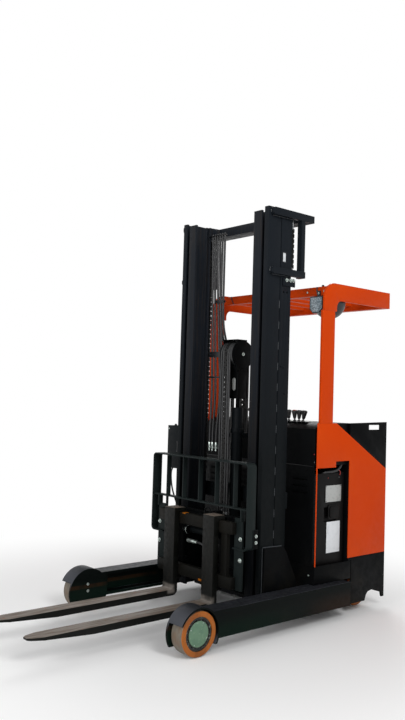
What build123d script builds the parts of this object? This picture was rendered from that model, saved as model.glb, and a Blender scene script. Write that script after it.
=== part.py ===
from build123d import *
import math
import os

os.makedirs("parts", exist_ok=True)

# A stand-on reach truck with straddle legs, a two-stage mast on a reach carriage and an overhead guard.
# Millimetres. X runs forward along the forks, Y to the left, Z up, and the floor is at Z = 0.
# While the pieces are made, X = 0 is the load wheels' axle. They are shifted when they are written.

# Driving dimensions
overall_height = 2547
fork_tip_x = 801
guard_rear_x = -1703

# Load wheels and straddle legs
load_wheel_radius = 120
load_wheel_width = 91
load_hub_radius = 90
load_cover_radius = 68
load_axle_radius = 17.5
leg_outer_y = 597
leg_inner_y = 480
leg_top_z = 226
leg_bottom_z = 78
leg_rear_x = -1253
leg_plate = 12
fender_gap = 10
fender_thickness = 10
fender_front_angle = 27
wheel_pocket_gap = 6

# Reach rollers and their channel
channel_height = 112
runner_gap = 0.3
channel_depth = 65
reach_stroke = 550

# Body
body_half_width = 532
body_front_x = -975
body_rear_x = -1693
body_top_z = 1223
hood_front_z = 1184
hood_seam_z = 955
tray_top_z = 338
bay_rear_x = -1299
bay_top_z = 981
bay_step_x = -1163
bay_step_z = 943
orange_bottom_z = 358
orange_corner_x = -1162
orange_corner_z = 915
skirt_bottom_z = 60
panel_thickness = 5
wall_thickness = 10
platform_z = 250

# Rear wheels
drive_wheel_radius = 115
drive_wheel_width = 75
drive_x = -1525
drive_y = body_half_width - 137
caster_wheel_radius = 75
caster_wheel_width = 42
caster_trail = 40
caster_x = -1500
caster_y = 147 - body_half_width

# Overhead guard
guard_half_width = 533
guard_top_z = 2115
guard_rail_height = 108
guard_front_x = -1021
post_front_x = -1003
post_depth = 119
guard_plate = 20
guard_beam_recess = 59
guard_beam_depth = 45
guard_beam_top_z = 2097
guard_beam_bottom_z = 2040
guard_corner_radius = 95
guard_inner_radius = 45
guard_bar_count = 6
guard_bar_width = 30
guard_bar_height = 32
guard_bar_top_z = 2072
rear_beam_depth = 45

# Hand controls
lever_x = -1075
lever_y = (215, 262, 309, 356)
lever_height = 77
steer_x = -1210
steer_y = -190
steer_post_radius = 16
steer_hub_z = body_top_z + 46
steer_hub_radius = 26
steer_wheel_z = body_top_z + 63
steer_rim_radius = 125
steer_rim_bar = 11

# Lamps
lamp_y = 433
lamp_z = 1978
lamp_size = 108
lamp_depth = 34
lamp_low_corner = 26
lamp_top_corner = 7
lamp_bracket_top_z = 2070
dome_x = -1215
dome_y = 403
dome_z = 2006
dome_radius = 106

# Mast
mast_front_x = -623
mast_half_width = 408
mast_depth = 140
mast_flange = 16
outer_web = 14
outer_flange_reach = 36
strip_depth = 71
strip_width = 24
strip_hole_x = (-772, -801)
strip_hole_z = 2030
strip_hole_radius = 7
mast_foot_z = 110
seam_x = -736
seam_width = 8
seam_depth = 5
tie_arm = 28
tie_arm_front_x = -640
top_tie_drop = 6
top_tie_height = 45
top_tie_reach = 178
top_plate_depth = 80
low_tie_z = 2132
low_tie_height = 41
low_tie_reach = 102
tie_return = 26
strut_depth = 33
cross_tie_z = 690
inner_half_width = 347
inner_flange_width = 69
inner_web = 14
inner_top_z = 2531
inner_foot_z = 120
bow_reach = 67
bow_height = 61
shoe_height = 31
lift_tube_radius = 30
lift_rod_radius = 20
lift_tube_x = -800
lift_tube_y = 350
lift_tube_top_z = 2460
rod_gap = 0.5

# Free lift
free_tube_radius = 39
free_rod_radius = 12.5
free_tube_x = -790
free_tube_top_z = 1302
crosshead_bottom_z = 1360
crosshead_top_z = 1550
sheave_radius = 80
sheave_flange_radius = 92
sheave_x = -800
sheave_y = -40
sheave_z = 1650
cheek_near_y = 32
cheek_far_y = -108
cheek_plate = 8
cheek_rear_x = -832
cheek_front_x = -744
cheek_top_z = 1743
hose_radius = 7.5
hose_drum_radius = 77
carriage_hose_y = (-86, -66, -14, 6)
carriage_hose_low_z = 600
chain_anchor_z = 1105

# Hoses down the inner mast
mast_hose_x = -752
mast_hose_y = (-246, -222, -198, -174, -150, -126)
mast_hose_top_z = 2476
mast_hose_low_z = 1062
mast_hose_low_y = (-224, -194, -164, -124)
back_hose_x = -875
back_hose_y = (-149, -131)
back_hose_low_z = 700
hose_clamp_z = (2010, 1480)
hose_turn_radius = 200
chain_width = 24
chain_thickness = 12

# Lift carriage, tilt frame and fork carriage
carriage_plate_y = 256
carriage_plate = 16
carriage_roller_x = -693
carriage_roller_low_z = 250
carriage_roller_high_z = 560
carriage_front_x = -555
tilt_pin_x = -550
tilt_pin_z = 300
tilt_pin_radius = 14
pin_gap = 0.05
tilt_frame_rear_x = -525
tilt_frame_depth = 20
fork_bar_front_x = -443
fork_bar_depth = 35
fork_bar_half_length = 425
fork_bar_top_z = 628
fork_bar_low_z = 235
fork_bar_height = 70
backrest_half_width = 456
backrest_front_x = -459
backrest_depth = 69
backrest_bar = 8
backrest_top_z = 984
backrest_mid_z = 710
backrest_low_z = 473
backrest_corner = 28
backrest_plate = 12
backrest_plate_y = 334
fork_y = 187
fork_width = 100
fork_thickness = 38
fork_face_x = -398
fork_heel_z = 146
fork_top_z = 656
fork_tip_thickness = 12
fork_heel_radius = 34
fork_lip = 16
hook_gap = 0.6

model_shift_x = -(fork_tip_x + guard_rear_x) / 2


def block(x0, x1, y0, y1, z0, z1):
    size = Box(abs(x1 - x0), abs(y1 - y0), abs(z1 - z0))
    return Pos((x0 + x1) / 2, (y0 + y1) / 2, (z0 + z1) / 2) * size


def side_profile(points, y0, y1):
    """A plate whose outline lies in X and Z, from y0 to y1."""
    outline = Polyline(*[(x, y0, z) for x, z in points], close=True)
    return extrude(make_face(outline), y1 - y0, dir=(0, 1, 0))


def plan_profile(points, z0, z1):
    """A bar whose outline lies in X and Y, from z0 to z1."""
    outline = Polyline(*[(x, y, z0) for x, y in points], close=True)
    return extrude(make_face(outline), z1 - z0, dir=(0, 0, 1))


def rod_y(x, z, radius, y0, y1):
    return Pos(x, (y0 + y1) / 2, z) * Rot(90, 0, 0) * Cylinder(radius, abs(y1 - y0))


def rod_x(y, z, radius, x0, x1):
    return Pos((x0 + x1) / 2, y, z) * Rot(0, 90, 0) * Cylinder(radius, abs(x1 - x0))


def rod_z(x, y, radius, z0, z1):
    return Pos(x, y, (z0 + z1) / 2) * Cylinder(radius, abs(z1 - z0))


def both_sides(piece):
    return [piece, mirror(piece, about=Plane.XZ)]


def write(name, *pieces):
    solids = [solid for piece in pieces for solid in piece.solids()]
    shape = Compound(children=[Pos(model_shift_x, 0, 0) * solid for solid in solids])
    if len(solids) == 1:
        shape = Pos(model_shift_x, 0, 0) * solids[0]
    export_step(shape, f"parts/{name}.step")


# Straddle leg: a box beam with a roller channel on its inner side and a fender over the load wheel
fender_inner = load_wheel_radius + fender_gap
fender_outer = fender_inner + fender_thickness
wheel_inner_y = leg_outer_y - 7 - load_wheel_width
pocket_y = wheel_inner_y - wheel_pocket_gap
channel_low_z = (leg_top_z + leg_bottom_z - channel_height) / 2
channel_high_z = channel_low_z + channel_height
reach_roller_radius = channel_height / 2 - runner_gap
channel_front_x = -fender_inner - 8
channel_web_y = leg_inner_y + channel_depth


def make_leg():
    beam = block(leg_rear_x, -60, leg_inner_y, leg_outer_y, leg_bottom_z, leg_top_z)
    cheek = rod_y(0, load_wheel_radius, fender_outer, leg_inner_y, leg_outer_y)
    leg = beam + cheek
    leg -= rod_y(0, load_wheel_radius, fender_inner, pocket_y, leg_outer_y + 1)
    front = math.radians(fender_front_angle)
    open_z = load_wheel_radius + fender_inner * math.sin(front)
    leg -= block(0, fender_outer + 1, pocket_y, leg_outer_y + 1, 0, open_z)
    leg -= block(-fender_outer - 1, fender_outer + 1, leg_inner_y - 1, leg_outer_y + 1, -40, 50)
    channel_rear_x = leg_rear_x + leg_plate
    leg -= block(channel_rear_x, channel_front_x, leg_inner_y - 1, channel_web_y, channel_low_z, channel_high_z)
    return leg


leg_left = make_leg()
write("leg_left", leg_left)
write("leg_right", mirror(leg_left, about=Plane.XZ))

# Load axle: a flange on the leg's cheek and a pin through the hub
axle_flange_radius = 40
axle_flange = 4
hub_outer_y = leg_outer_y - 12
load_axle = rod_y(0, load_wheel_radius, axle_flange_radius, pocket_y, pocket_y + axle_flange)
load_axle += rod_y(0, load_wheel_radius, load_axle_radius, pocket_y, hub_outer_y - 8)
write("load_axles", *both_sides(load_axle))


def make_tyre(radius, inner_radius, width, bevel):
    """A tyre about the Z axis, with bevelled shoulders."""
    ring = Cylinder(radius, width) - Cylinder(inner_radius, width + 2)
    shoulders = ring.edges().filter_by(GeomType.CIRCLE).group_by(SortBy.RADIUS)[-1]
    return chamfer(shoulders, bevel)


def on_axle(piece, x, y, z):
    """Turns a piece that was made about Z to run about Y, its +Z end outward."""
    return Pos(x, y, z) * Rot(-90, 0, 0) * piece


# Load wheel: a cast hub in a moulded tyre, with a dished outer face under a round cover
load_wheel_y = wheel_inner_y + load_wheel_width / 2
hub_width = load_wheel_width - 10
hub = Cylinder(load_hub_radius, hub_width) - Cylinder(load_axle_radius + pin_gap, hub_width + 2)
hub -= Pos(0, 0, hub_width / 2) * Cylinder(load_cover_radius + 10, 16)
hub -= Pos(0, 0, -hub_width / 2) * Cylinder(load_cover_radius + 6, 24)
boss_radius = 34
hub += Pos(0, 0, -hub_width / 2 + 6) * (Cylinder(boss_radius, 12) - Cylinder(load_axle_radius + pin_gap, 14))
cover = Pos(0, 0, hub_width / 2 - 4) * Cylinder(load_cover_radius, 8)
cover += Pos(0, 0, hub_width / 2 + 1) * Cylinder(load_cover_radius - 8, 4)
for side, sign in (("left", 1), ("right", -1)):
    place = Pos(0, sign * load_wheel_y, load_wheel_radius) * Rot(-90 * sign, 0, 0)
    write(f"load_tyre_{side}", place * make_tyre(load_wheel_radius, load_hub_radius, load_wheel_width, 5))
    write(f"load_hub_{side}", place * hub)
    write(f"load_hub_cover_{side}", place * cover)

# Cross frame between the legs, under the battery tray
cross_wall = 12
reach_tube_radius = 32
reach_tube_z = 160
cross = block(leg_rear_x, body_front_x, -leg_inner_y, leg_inner_y, 90, leg_top_z)
cross -= block(leg_rear_x + cross_wall, body_front_x - cross_wall, -leg_inner_y - 1, leg_inner_y + 1, 80, leg_top_z - cross_wall)
cross -= rod_x(0, reach_tube_z, reach_tube_radius + 1, leg_rear_x - 1, body_front_x + 1)
write("cross_frame", cross)

# Reach cylinder: its tube is fixed to the cross frame and its rod to the reach carriage
reach_tube_front_x = body_front_x + 5
reach_tube_rear_x = reach_tube_front_x - reach_stroke - 50
reach_rod_radius = 17.5
reach_tube = rod_x(0, reach_tube_z, reach_tube_radius, reach_tube_rear_x, reach_tube_front_x)
reach_tube -= rod_x(0, reach_tube_z, reach_rod_radius + rod_gap, reach_tube_rear_x + 10, reach_tube_front_x + 1)
saddle = block(leg_rear_x - 60, leg_rear_x, -60, 60, reach_tube_z - 46, leg_top_z)
saddle -= rod_x(0, reach_tube_z, reach_tube_radius, leg_rear_x - 61, leg_rear_x + 1)
write("reach_cylinder", reach_tube + saddle)

# Battery tray on the legs, and the battery in it
tray_half = body_half_width
tray_rear_x = -1330
tray = block(tray_rear_x, body_front_x, -tray_half, tray_half, leg_top_z, tray_top_z)
tray -= block(tray_rear_x + wall_thickness, body_front_x - wall_thickness, -tray_half + wall_thickness,
              tray_half - wall_thickness, leg_top_z + wall_thickness, tray_top_z + 1)
write("battery_tray", tray)
battery_half = body_half_width - 32
battery_top_z = 905
battery_front_x = body_front_x - 22
battery_rear_x = bay_rear_x + 8
battery = block(battery_rear_x, battery_front_x, -battery_half, battery_half, leg_top_z + wall_thickness, battery_top_z)
battery = chamfer(battery.edges().filter_by(Axis.Z), 6)
for y in (battery_half, -battery_half):
    battery -= block(-1212, -1092, y - 18, y + 18, 600, 690)
write("battery", battery)

# Side panels: one orange sheet each side, cut away for the battery bay
orange_points = [
    (body_front_x - 2, body_top_z),
    (orange_corner_x, body_top_z),
    (body_rear_x, orange_corner_z),
    (body_rear_x, orange_bottom_z),
    (bay_rear_x, orange_bottom_z),
    (bay_rear_x, bay_top_z),
    (bay_step_x, bay_top_z),
    (bay_step_x, bay_step_z),
    (body_front_x - 10, bay_step_z),
    (body_front_x - 10, tray_top_z),
    (body_front_x - 2, tray_top_z),
]
panel_left = side_profile(orange_points, body_half_width - panel_thickness, body_half_width)
write("side_panel_left", panel_left)
write("side_panel_right", mirror(panel_left, about=Plane.XZ))

# Rear side walls: black plates from the bay to the back, recessed where the orange sheet lies on them
arch_front_x = -1499
arch_rear_x = -1666
arch_top_z = 122
skirt_points = [
    (bay_rear_x - 2, body_top_z),
    (body_rear_x, body_top_z + 8),
    (body_rear_x, skirt_bottom_z),
    (arch_rear_x, skirt_bottom_z),
    (arch_rear_x + 10, 92),
    (arch_rear_x + 110, arch_top_z),
    (arch_front_x - 18, arch_top_z - 8),
    (arch_front_x, skirt_bottom_z + 36),
    (arch_front_x + 14, skirt_bottom_z),
    (-1335, skirt_bottom_z),
    (-1335, tray_top_z + 2),
    (bay_rear_x - 2, tray_top_z + 2),
]
wall_left = side_profile(skirt_points, body_half_width - wall_thickness, body_half_width)
lip = block(-1400, orange_corner_x - 8, body_half_width - 8, body_half_width, body_top_z, body_top_z + 14)
pocket = block(body_rear_x - 1, bay_rear_x + 1, body_half_width - panel_thickness, body_half_width + 1,
               orange_bottom_z, body_top_z + 10)
above = [(orange_corner_x, body_top_z), (body_rear_x, orange_corner_z), (body_rear_x - 2, orange_corner_z),
         (body_rear_x - 2, body_top_z + 20), (orange_corner_x, body_top_z + 20)]
pocket -= side_profile(above, body_half_width - panel_thickness - 1, body_half_width + 2)
wall_left -= pocket
grab_slot = block(-1617, -1498, body_half_width - 20, body_half_width + 1, body_top_z - 43, body_top_z - 12)
wall_left -= grab_slot
write("rear_wall_left", wall_left)
write("rear_wall_right", mirror(wall_left, about=Plane.XZ))

# Hood: a hollow cover with a sloped front edge, open below
hood_half = guard_half_width - guard_plate
hood_wall = 5
hood_points = [
    (body_front_x, hood_seam_z),
    (body_front_x, hood_front_z),
    (body_front_x - 14, hood_front_z + 12),
    (body_front_x - 90, body_top_z),
    (bay_rear_x, body_top_z),
    (bay_rear_x, hood_seam_z),
]
hood = side_profile(hood_points, -hood_half, hood_half)
inner_points = [
    (body_front_x - hood_wall, hood_seam_z - 1),
    (body_front_x - hood_wall, hood_front_z - 2),
    (body_front_x - 14 - hood_wall, hood_front_z + 12 - hood_wall),
    (body_front_x - 90, body_top_z - hood_wall),
    (bay_rear_x + hood_wall, body_top_z - hood_wall),
    (bay_rear_x + hood_wall, hood_seam_z - 1),
]
hood -= side_profile(inner_points, -hood_half + hood_wall, hood_half - hood_wall)
write("hood", hood)

# Front panel below the hood, with louvre slots near each side
front_panel = block(body_front_x - hood_wall, body_front_x, -hood_half, hood_half, tray_top_z, hood_seam_z)
for z in (867, 825, 785):
    for y in (395, -395):
        front_panel -= block(body_front_x - 10, body_front_x + 1, y - 56, y + 56, z - 4, z + 4)
write("front_panel", front_panel)

# Bulkhead behind the battery, operator's platform and its mat
bulkhead = block(bay_rear_x - 6, bay_rear_x, -body_half_width + wall_thickness, body_half_width - wall_thickness,
                 leg_top_z + wall_thickness, body_top_z)
write("bulkhead", bulkhead)
floor_half = body_half_width - wall_thickness
cover_y = drive_y - 159
drive_hole = 120
platform = block(body_rear_x + 2, tray_rear_x - 2, -floor_half, floor_half, platform_z - 12, platform_z)
platform -= block(drive_x - drive_hole, drive_x + drive_hole, drive_y - drive_hole, drive_y + 116, platform_z - 20, platform_z + 1)
platform += block(body_rear_x + 2, body_rear_x + 14, -floor_half, floor_half, 150, platform_z)
caster_plate_z = platform_z - 12
platform += block(caster_x - 90, caster_x + 90, caster_y - 75, caster_y + 75, caster_plate_z - 10, caster_plate_z)
write("platform", platform)
mat = block(body_rear_x + 20, tray_rear_x - 15, -floor_half + 12, cover_y - 21, platform_z, platform_z + 8)
write("floor_mat", mat)

# Drive cover over the drive motor, open below
drive_cover = block(body_rear_x + 6, tray_rear_x - 2, cover_y, floor_half, platform_z, 760)
drive_cover = chamfer(drive_cover.edges().filter_by(Axis.X).sort_by(Axis.Z)[-2:].sort_by(Axis.Y)[0], 40)
drive_cover -= block(body_rear_x + 12, tray_rear_x - 8, cover_y + 6, floor_half - 6, platform_z - 1, 712)
write("drive_cover", drive_cover)

# Drive unit: a plain motor block above, a turning gearbox and its wheel below
motor = rod_z(drive_x, drive_y, 95, 330, 640)
motor += rod_z(drive_x, drive_y, 112, platform_z + 12, 330)
motor -= rod_z(drive_x, drive_y, 40, 261, 300)
mount_flange = block(drive_x - 130, drive_x + 130, drive_y - 132, drive_y + 119, platform_z, platform_z + 12)
mount_flange -= rod_z(drive_x, drive_y, 105, platform_z - 1, platform_z + 13)
write("drive_motor", motor + mount_flange)
gearbox = rod_z(drive_x, drive_y, 100, 240, 256)
gearbox += rod_z(drive_x, drive_y, 40 - runner_gap, 250, 298)
gear_inner_y = drive_y - drive_wheel_width / 2 - 8
gearbox += block(drive_x - 55, drive_x + 55, gear_inner_y - 44, gear_inner_y, 60, 241)
gearbox += rod_y(drive_x, drive_wheel_radius, 55, gear_inner_y - 44, gear_inner_y)
gearbox += rod_y(drive_x, drive_wheel_radius, 16, gear_inner_y - 1, drive_y + drive_wheel_width / 2 - 6)
write("drive_gearbox", gearbox)
drive_tyre = make_tyre(drive_wheel_radius, 85, drive_wheel_width, 6)
drive_hub = Cylinder(85, drive_wheel_width - 14) - Cylinder(16 + pin_gap, drive_wheel_width)
drive_hub -= Pos(0, 0, drive_wheel_width / 2 - 7) * (Cylinder(72, 24) - Cylinder(36, 26))
write("drive_tyre", on_axle(drive_tyre, drive_x, drive_y, drive_wheel_radius))
write("drive_hub", on_axle(drive_hub, drive_x, drive_y, drive_wheel_radius))

# Caster: a swivelling fork under the platform's caster plate, and a twin wheel
caster_axle_x = caster_x - caster_trail
fork_leg_y = caster_wheel_width + 12
caster_fork = rod_z(caster_x, caster_y, 50, caster_plate_z - 34, caster_plate_z - 10.5)
caster_fork += block(caster_axle_x - 34, caster_x + 50, caster_y - fork_leg_y - 8, caster_y + fork_leg_y + 8,
                     caster_plate_z - 44, caster_plate_z - 34)
for sign in (1, -1):
    y0 = caster_y + sign * fork_leg_y
    y1 = caster_y + sign * (fork_leg_y + 8)
    ear = [(caster_axle_x - 34, caster_plate_z - 34), (caster_x + 40, caster_plate_z - 34),
           (caster_axle_x + 28, caster_wheel_radius - 18), (caster_axle_x - 28, caster_wheel_radius - 18)]
    caster_fork += side_profile(ear, min(y0, y1), max(y0, y1))
caster_fork += rod_y(caster_axle_x, caster_wheel_radius, 10, caster_y - fork_leg_y, caster_y + fork_leg_y)
write("caster_fork", caster_fork)
caster_ring = make_tyre(caster_wheel_radius, 10 + pin_gap, caster_wheel_width, 5)
twin = [on_axle(caster_ring, caster_axle_x, caster_y + sign * (caster_wheel_width / 2 + 4), caster_wheel_radius)
        for sign in (1, -1)]
spacer = Cylinder(22, 10) - Cylinder(10 + pin_gap, 12)
write("caster_wheels", twin[0] + twin[1] + on_axle(spacer, caster_axle_x, caster_y, caster_wheel_radius))

# Overhead guard: two flat posts, side rails with a rounded front corner, beams and roof bars
guard_inner_y = guard_half_width - guard_plate
lap_z = 1935
post = block(post_front_x - post_depth, post_front_x, guard_inner_y, guard_half_width, body_top_z, lap_z)
post += block(post_front_x - post_depth, post_front_x, guard_inner_y, body_half_width - panel_thickness, 1000, body_top_z + 1)
write("guard_posts", *both_sides(post))

rail_low_z = guard_top_z - guard_rail_height
upper_rear_x = guard_front_x - post_depth


def make_rail():
    rail = block(guard_rear_x, guard_front_x, guard_inner_y, guard_half_width - 2, lap_z, guard_top_z)
    corner = rail.edges().filter_by(Axis.Y).sort_by(Axis.X)[-2:].sort_by(Axis.Z)[-1]
    rail = fillet(corner, guard_corner_radius)
    hollow = block(guard_rear_x - 1, upper_rear_x, guard_inner_y - 1, guard_half_width, lap_z - 1, rail_low_z)
    inside = hollow.edges().filter_by(Axis.Y).sort_by(Axis.X)[-2:].sort_by(Axis.Z)[-1]
    return rail - fillet(inside, guard_inner_radius)


roof = Part() + both_sides(make_rail())
beam_front_x = guard_front_x - guard_beam_recess
beam_rear_x = beam_front_x - guard_beam_depth
rear_beam_x = guard_rear_x + 3
rail_y = guard_inner_y + 1
roof += block(beam_rear_x, beam_front_x, -rail_y, rail_y, guard_beam_bottom_z, guard_beam_top_z)
roof += block(rear_beam_x, rear_beam_x + rear_beam_depth, -rail_y, rail_y, rail_low_z, guard_beam_top_z)
bar_step = 2 * guard_inner_y / (guard_bar_count + 1)
for n in range(guard_bar_count):
    y = -guard_inner_y + (n + 1) * bar_step
    roof += block(rear_beam_x + rear_beam_depth - 5, beam_rear_x + 5, y - guard_bar_width / 2, y + guard_bar_width / 2,
                  guard_bar_top_z - guard_bar_height, guard_bar_top_z)
write("guard_roof", roof)

# Work lamp on the front beam's face, and a round dome under the roof bars
lamp_plane = Plane(origin=(beam_front_x, lamp_y, lamp_z), x_dir=(0, 1, 0), z_dir=(1, 0, 0))
lamp_face = Rectangle(lamp_size, lamp_size)
lamp_corners = lamp_face.vertices().sort_by(Axis.Y)
lamp_face = chamfer(lamp_corners[:2], lamp_low_corner)
lamp_face = chamfer(lamp_face.vertices().sort_by(Axis.Y)[-2:], lamp_top_corner)
lamp = extrude(lamp_plane * lamp_face, lamp_depth)
lamp += block(beam_front_x, beam_front_x + 8, lamp_y - 12, lamp_y + 12, lamp_z + 30, lamp_bracket_top_z)
dome_top_z = guard_bar_top_z - guard_bar_height
bowl = [(0, dome_top_z), (dome_radius * 0.9, dome_top_z)]
for angle in (0, -25, -50, -72, -90):
    turn = math.radians(angle)
    bowl.append((dome_radius * math.cos(turn), dome_z + dome_radius * math.sin(turn)))
bowl_face = make_face(Polyline(*[(r, 0, z) for r, z in bowl], close=True))
dome = Pos(dome_x, dome_y, 0) * revolve(bowl_face, Axis.Z)
write("work_lamp", lamp, dome)

# Hand levers and steering wheel on the hood
levers = Part()
grip_base = body_top_z + 15
grip_height = lever_height - 15
for y in lever_y:
    stem = rod_z(lever_x, y, 5, body_top_z, grip_base + 2)
    grip = extrude(Pos(lever_x, y, grip_base) * Rectangle(16, 16), grip_height, taper=-5)
    levers += stem + chamfer(grip.edges().group_by(Axis.Z)[-1], 4)
write("control_levers", levers)
steer_post = rod_z(steer_x, steer_y, steer_post_radius, body_top_z, steer_hub_z - runner_gap)
write("steering_column", steer_post)
rim_section = Plane.XZ * Pos(steer_rim_radius, steer_wheel_z) * RegularPolygon(steer_rim_bar, 8)
steering_wheel = Pos(steer_x, steer_y, 0) * revolve(rim_section, Axis.Z)
steering_wheel += rod_z(steer_x, steer_y, steer_hub_radius, steer_hub_z, steer_wheel_z + 4)
for angle in (30, 150, 270):
    spoke = Pos(steer_rim_radius / 2, 0, 0) * Box(steer_rim_radius, 18, 9)
    steering_wheel += Pos(steer_x, steer_y, steer_wheel_z - 4) * Rot(0, 0, angle) * spoke
knob = Pos(0, 0, 8) * Cylinder(7, 24) + Pos(0, 0, 36) * chamfer(Cylinder(17, 32).edges(), 5)
steering_wheel += Pos(steer_x - steer_rim_radius, steer_y, steer_wheel_z) * knob
write("steering_wheel", steering_wheel)

# Reach carriage: side plates, a cross beam behind the mast's feet and four rollers
foot_points = [
    (-640, 470), (-806, 465), (-835, 425), (-922, 257), (-930, 198), (-930, 96), (-640, 96),
]
plate_outer_y = mast_half_width + 20
reach_frame = Part() + both_sides(side_profile(foot_points, mast_half_width, plate_outer_y))
reach_frame += block(-930, -842, -mast_half_width - 1, mast_half_width + 1, 100, 215)
write("reach_frame", reach_frame)
roller_z = (leg_top_z + leg_bottom_z) / 2
roller_outer_y = channel_web_y - 5
rollers = []
for x in (-754, -874):
    roller = rod_y(x, roller_z, reach_roller_radius, leg_inner_y + 8, roller_outer_y)
    roller += rod_y(x, roller_z, 22, plate_outer_y, leg_inner_y + 9)
    rollers += both_sides(roller)
write("reach_rollers", *rollers)
rod_back_x = reach_tube_rear_x + 20
write("reach_rod", rod_x(0, reach_tube_z, reach_rod_radius, rod_back_x, -930))


def outer_column_points(flange_x0):
    """The outer mast's section, a channel open inward with a seam outside and a bar along its back."""
    rear_x = mast_front_x - mast_depth
    web_y = mast_half_width - outer_web
    tip_y = mast_half_width - outer_flange_reach
    strip_x = rear_x - strip_depth
    strip_y = mast_half_width - strip_width
    return [
        (flange_x0, mast_half_width), (flange_x0, tip_y), (flange_x0 - mast_flange, tip_y),
        (flange_x0 - mast_flange, web_y), (rear_x + mast_flange, web_y), (rear_x + mast_flange, tip_y),
        (rear_x, tip_y), (rear_x, strip_y), (strip_x, strip_y), (strip_x, mast_half_width),
        (seam_x - seam_width / 2, mast_half_width), (seam_x - seam_width / 2, mast_half_width - seam_depth),
        (seam_x + seam_width / 2, mast_half_width - seam_depth), (seam_x + seam_width / 2, mast_half_width),
    ]


# Outer mast: two columns, ties with arms welded outside them near the top, and a low cross tie
outer_left = plan_profile(outer_column_points(mast_front_x), mast_foot_z, overall_height)
for x in strip_hole_x:
    outer_left -= rod_y(x, strip_hole_z, strip_hole_radius, mast_half_width - strip_width - 1, mast_half_width + 1)
write("outer_mast_left", outer_left)
write("outer_mast_right", mirror(outer_left, about=Plane.XZ))
inner_rear_x = mast_front_x - mast_depth
strip_rear_x = inner_rear_x - strip_depth
tie_inner_y = mast_half_width - strip_width
tie_outer_y = mast_half_width + tie_arm
return_y = mast_half_width - tie_return
top_tie_top_z = overall_height - top_tie_drop
top_tie_z = top_tie_top_z - top_tie_height
top_tie_x = strip_rear_x - top_tie_reach
low_tie_x = strip_rear_x - low_tie_reach
low_tie_top_z = low_tie_z + low_tie_height


def tie_arm_pair(back_x, z0, z1):
    """Two arms along the columns' outer faces, with their front ends rounded."""
    arm = block(back_x, tie_arm_front_x, mast_half_width, tie_outer_y, z0, z1)
    front = arm.edges().filter_by(Axis.Y).sort_by(Axis.X)[-2:]
    return both_sides(fillet(front, 15))


ties = Part() + tie_arm_pair(top_tie_x, top_tie_z, top_tie_top_z)
ties += tie_arm_pair(low_tie_x, low_tie_z, low_tie_top_z)
ties += block(top_tie_x, top_tie_x + top_plate_depth, -tie_outer_y + 1, tie_outer_y - 1, top_tie_z, top_tie_top_z)
strut_rear_x = low_tie_x + 6
for strut in both_sides(block(strut_rear_x, strut_rear_x + strut_depth, mast_half_width - 12, tie_outer_y - 2,
                              low_tie_top_z - 5, top_tie_z + 5)):
    ties += strut
for end in both_sides(block(low_tie_x, low_tie_x + tie_arm, return_y, tie_outer_y - 1, low_tie_z, low_tie_top_z)):
    ties += end
low_tie = block(strip_rear_x - 16, strip_rear_x, -mast_half_width, mast_half_width, cross_tie_z, cross_tie_z + 100)
write("outer_mast_ties", ties, low_tie)

# Main lift cylinders: tubes stand on the reach frame's shelf, rods carry the inner mast
tube_base_z = 250
lift_tube = rod_z(lift_tube_x, lift_tube_y, lift_tube_radius, tube_base_z, lift_tube_top_z)
lift_tube -= rod_z(lift_tube_x, lift_tube_y, lift_rod_radius + rod_gap, tube_base_z + 30, lift_tube_top_z + 1)
tube_shelf = block(strip_rear_x, inner_rear_x - 3, lift_tube_y - 38, tie_inner_y, tube_base_z - 20, tube_base_z)
write("lift_cylinders", *both_sides(lift_tube + tube_shelf))
lift_rod = rod_z(lift_tube_x, lift_tube_y, lift_rod_radius, tube_base_z + 60, inner_top_z - shoe_height)
write("lift_rods", *both_sides(lift_rod))

# Inner mast: two I columns, a top tie bent round the sheave's path, and a foot tie
inner_face_y = inner_half_width - inner_flange_width
web_low_y = (inner_half_width + inner_face_y) / 2 - inner_web / 2
web_high_y = web_low_y + inner_web
inner_points = [
    (mast_front_x, inner_face_y), (mast_front_x, inner_half_width),
    (mast_front_x - mast_flange, inner_half_width), (mast_front_x - mast_flange, web_high_y),
    (inner_rear_x + mast_flange, web_high_y), (inner_rear_x + mast_flange, inner_half_width),
    (inner_rear_x, inner_half_width), (inner_rear_x, inner_face_y),
    (inner_rear_x + mast_flange, inner_face_y), (inner_rear_x + mast_flange, web_low_y),
    (mast_front_x - mast_flange, web_low_y), (mast_front_x - mast_flange, inner_face_y),
]
inner_left = plan_profile(inner_points, inner_foot_z, inner_top_z)
write("inner_mast_left", inner_left)
write("inner_mast_right", mirror(inner_left, about=Plane.XZ))
bow_x = inner_rear_x - bow_reach
bow_y = inner_face_y + 4
bow_points = [
    (inner_rear_x, bow_y), (inner_rear_x, bow_y + 16), (bow_x - 6, bow_y + 10), (bow_x - 15, bow_y),
    (bow_x - 15, -bow_y), (bow_x - 6, -bow_y - 10), (inner_rear_x, -bow_y - 16), (inner_rear_x, -bow_y),
    (bow_x, -bow_y + 9), (bow_x, bow_y - 9),
]
inner_ties = plan_profile(bow_points, inner_top_z - bow_height, inner_top_z)
rod_shoe = block(lift_tube_x - 25, inner_rear_x, bow_y + 15, lift_tube_y + 22, inner_top_z - shoe_height, inner_top_z)
inner_ties += both_sides(rod_shoe)
foot_tie = block(free_tube_x - free_tube_radius, -700, -inner_face_y, inner_face_y, inner_foot_z, inner_foot_z + 25)
write("inner_mast_ties", inner_ties, foot_tie)

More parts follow.
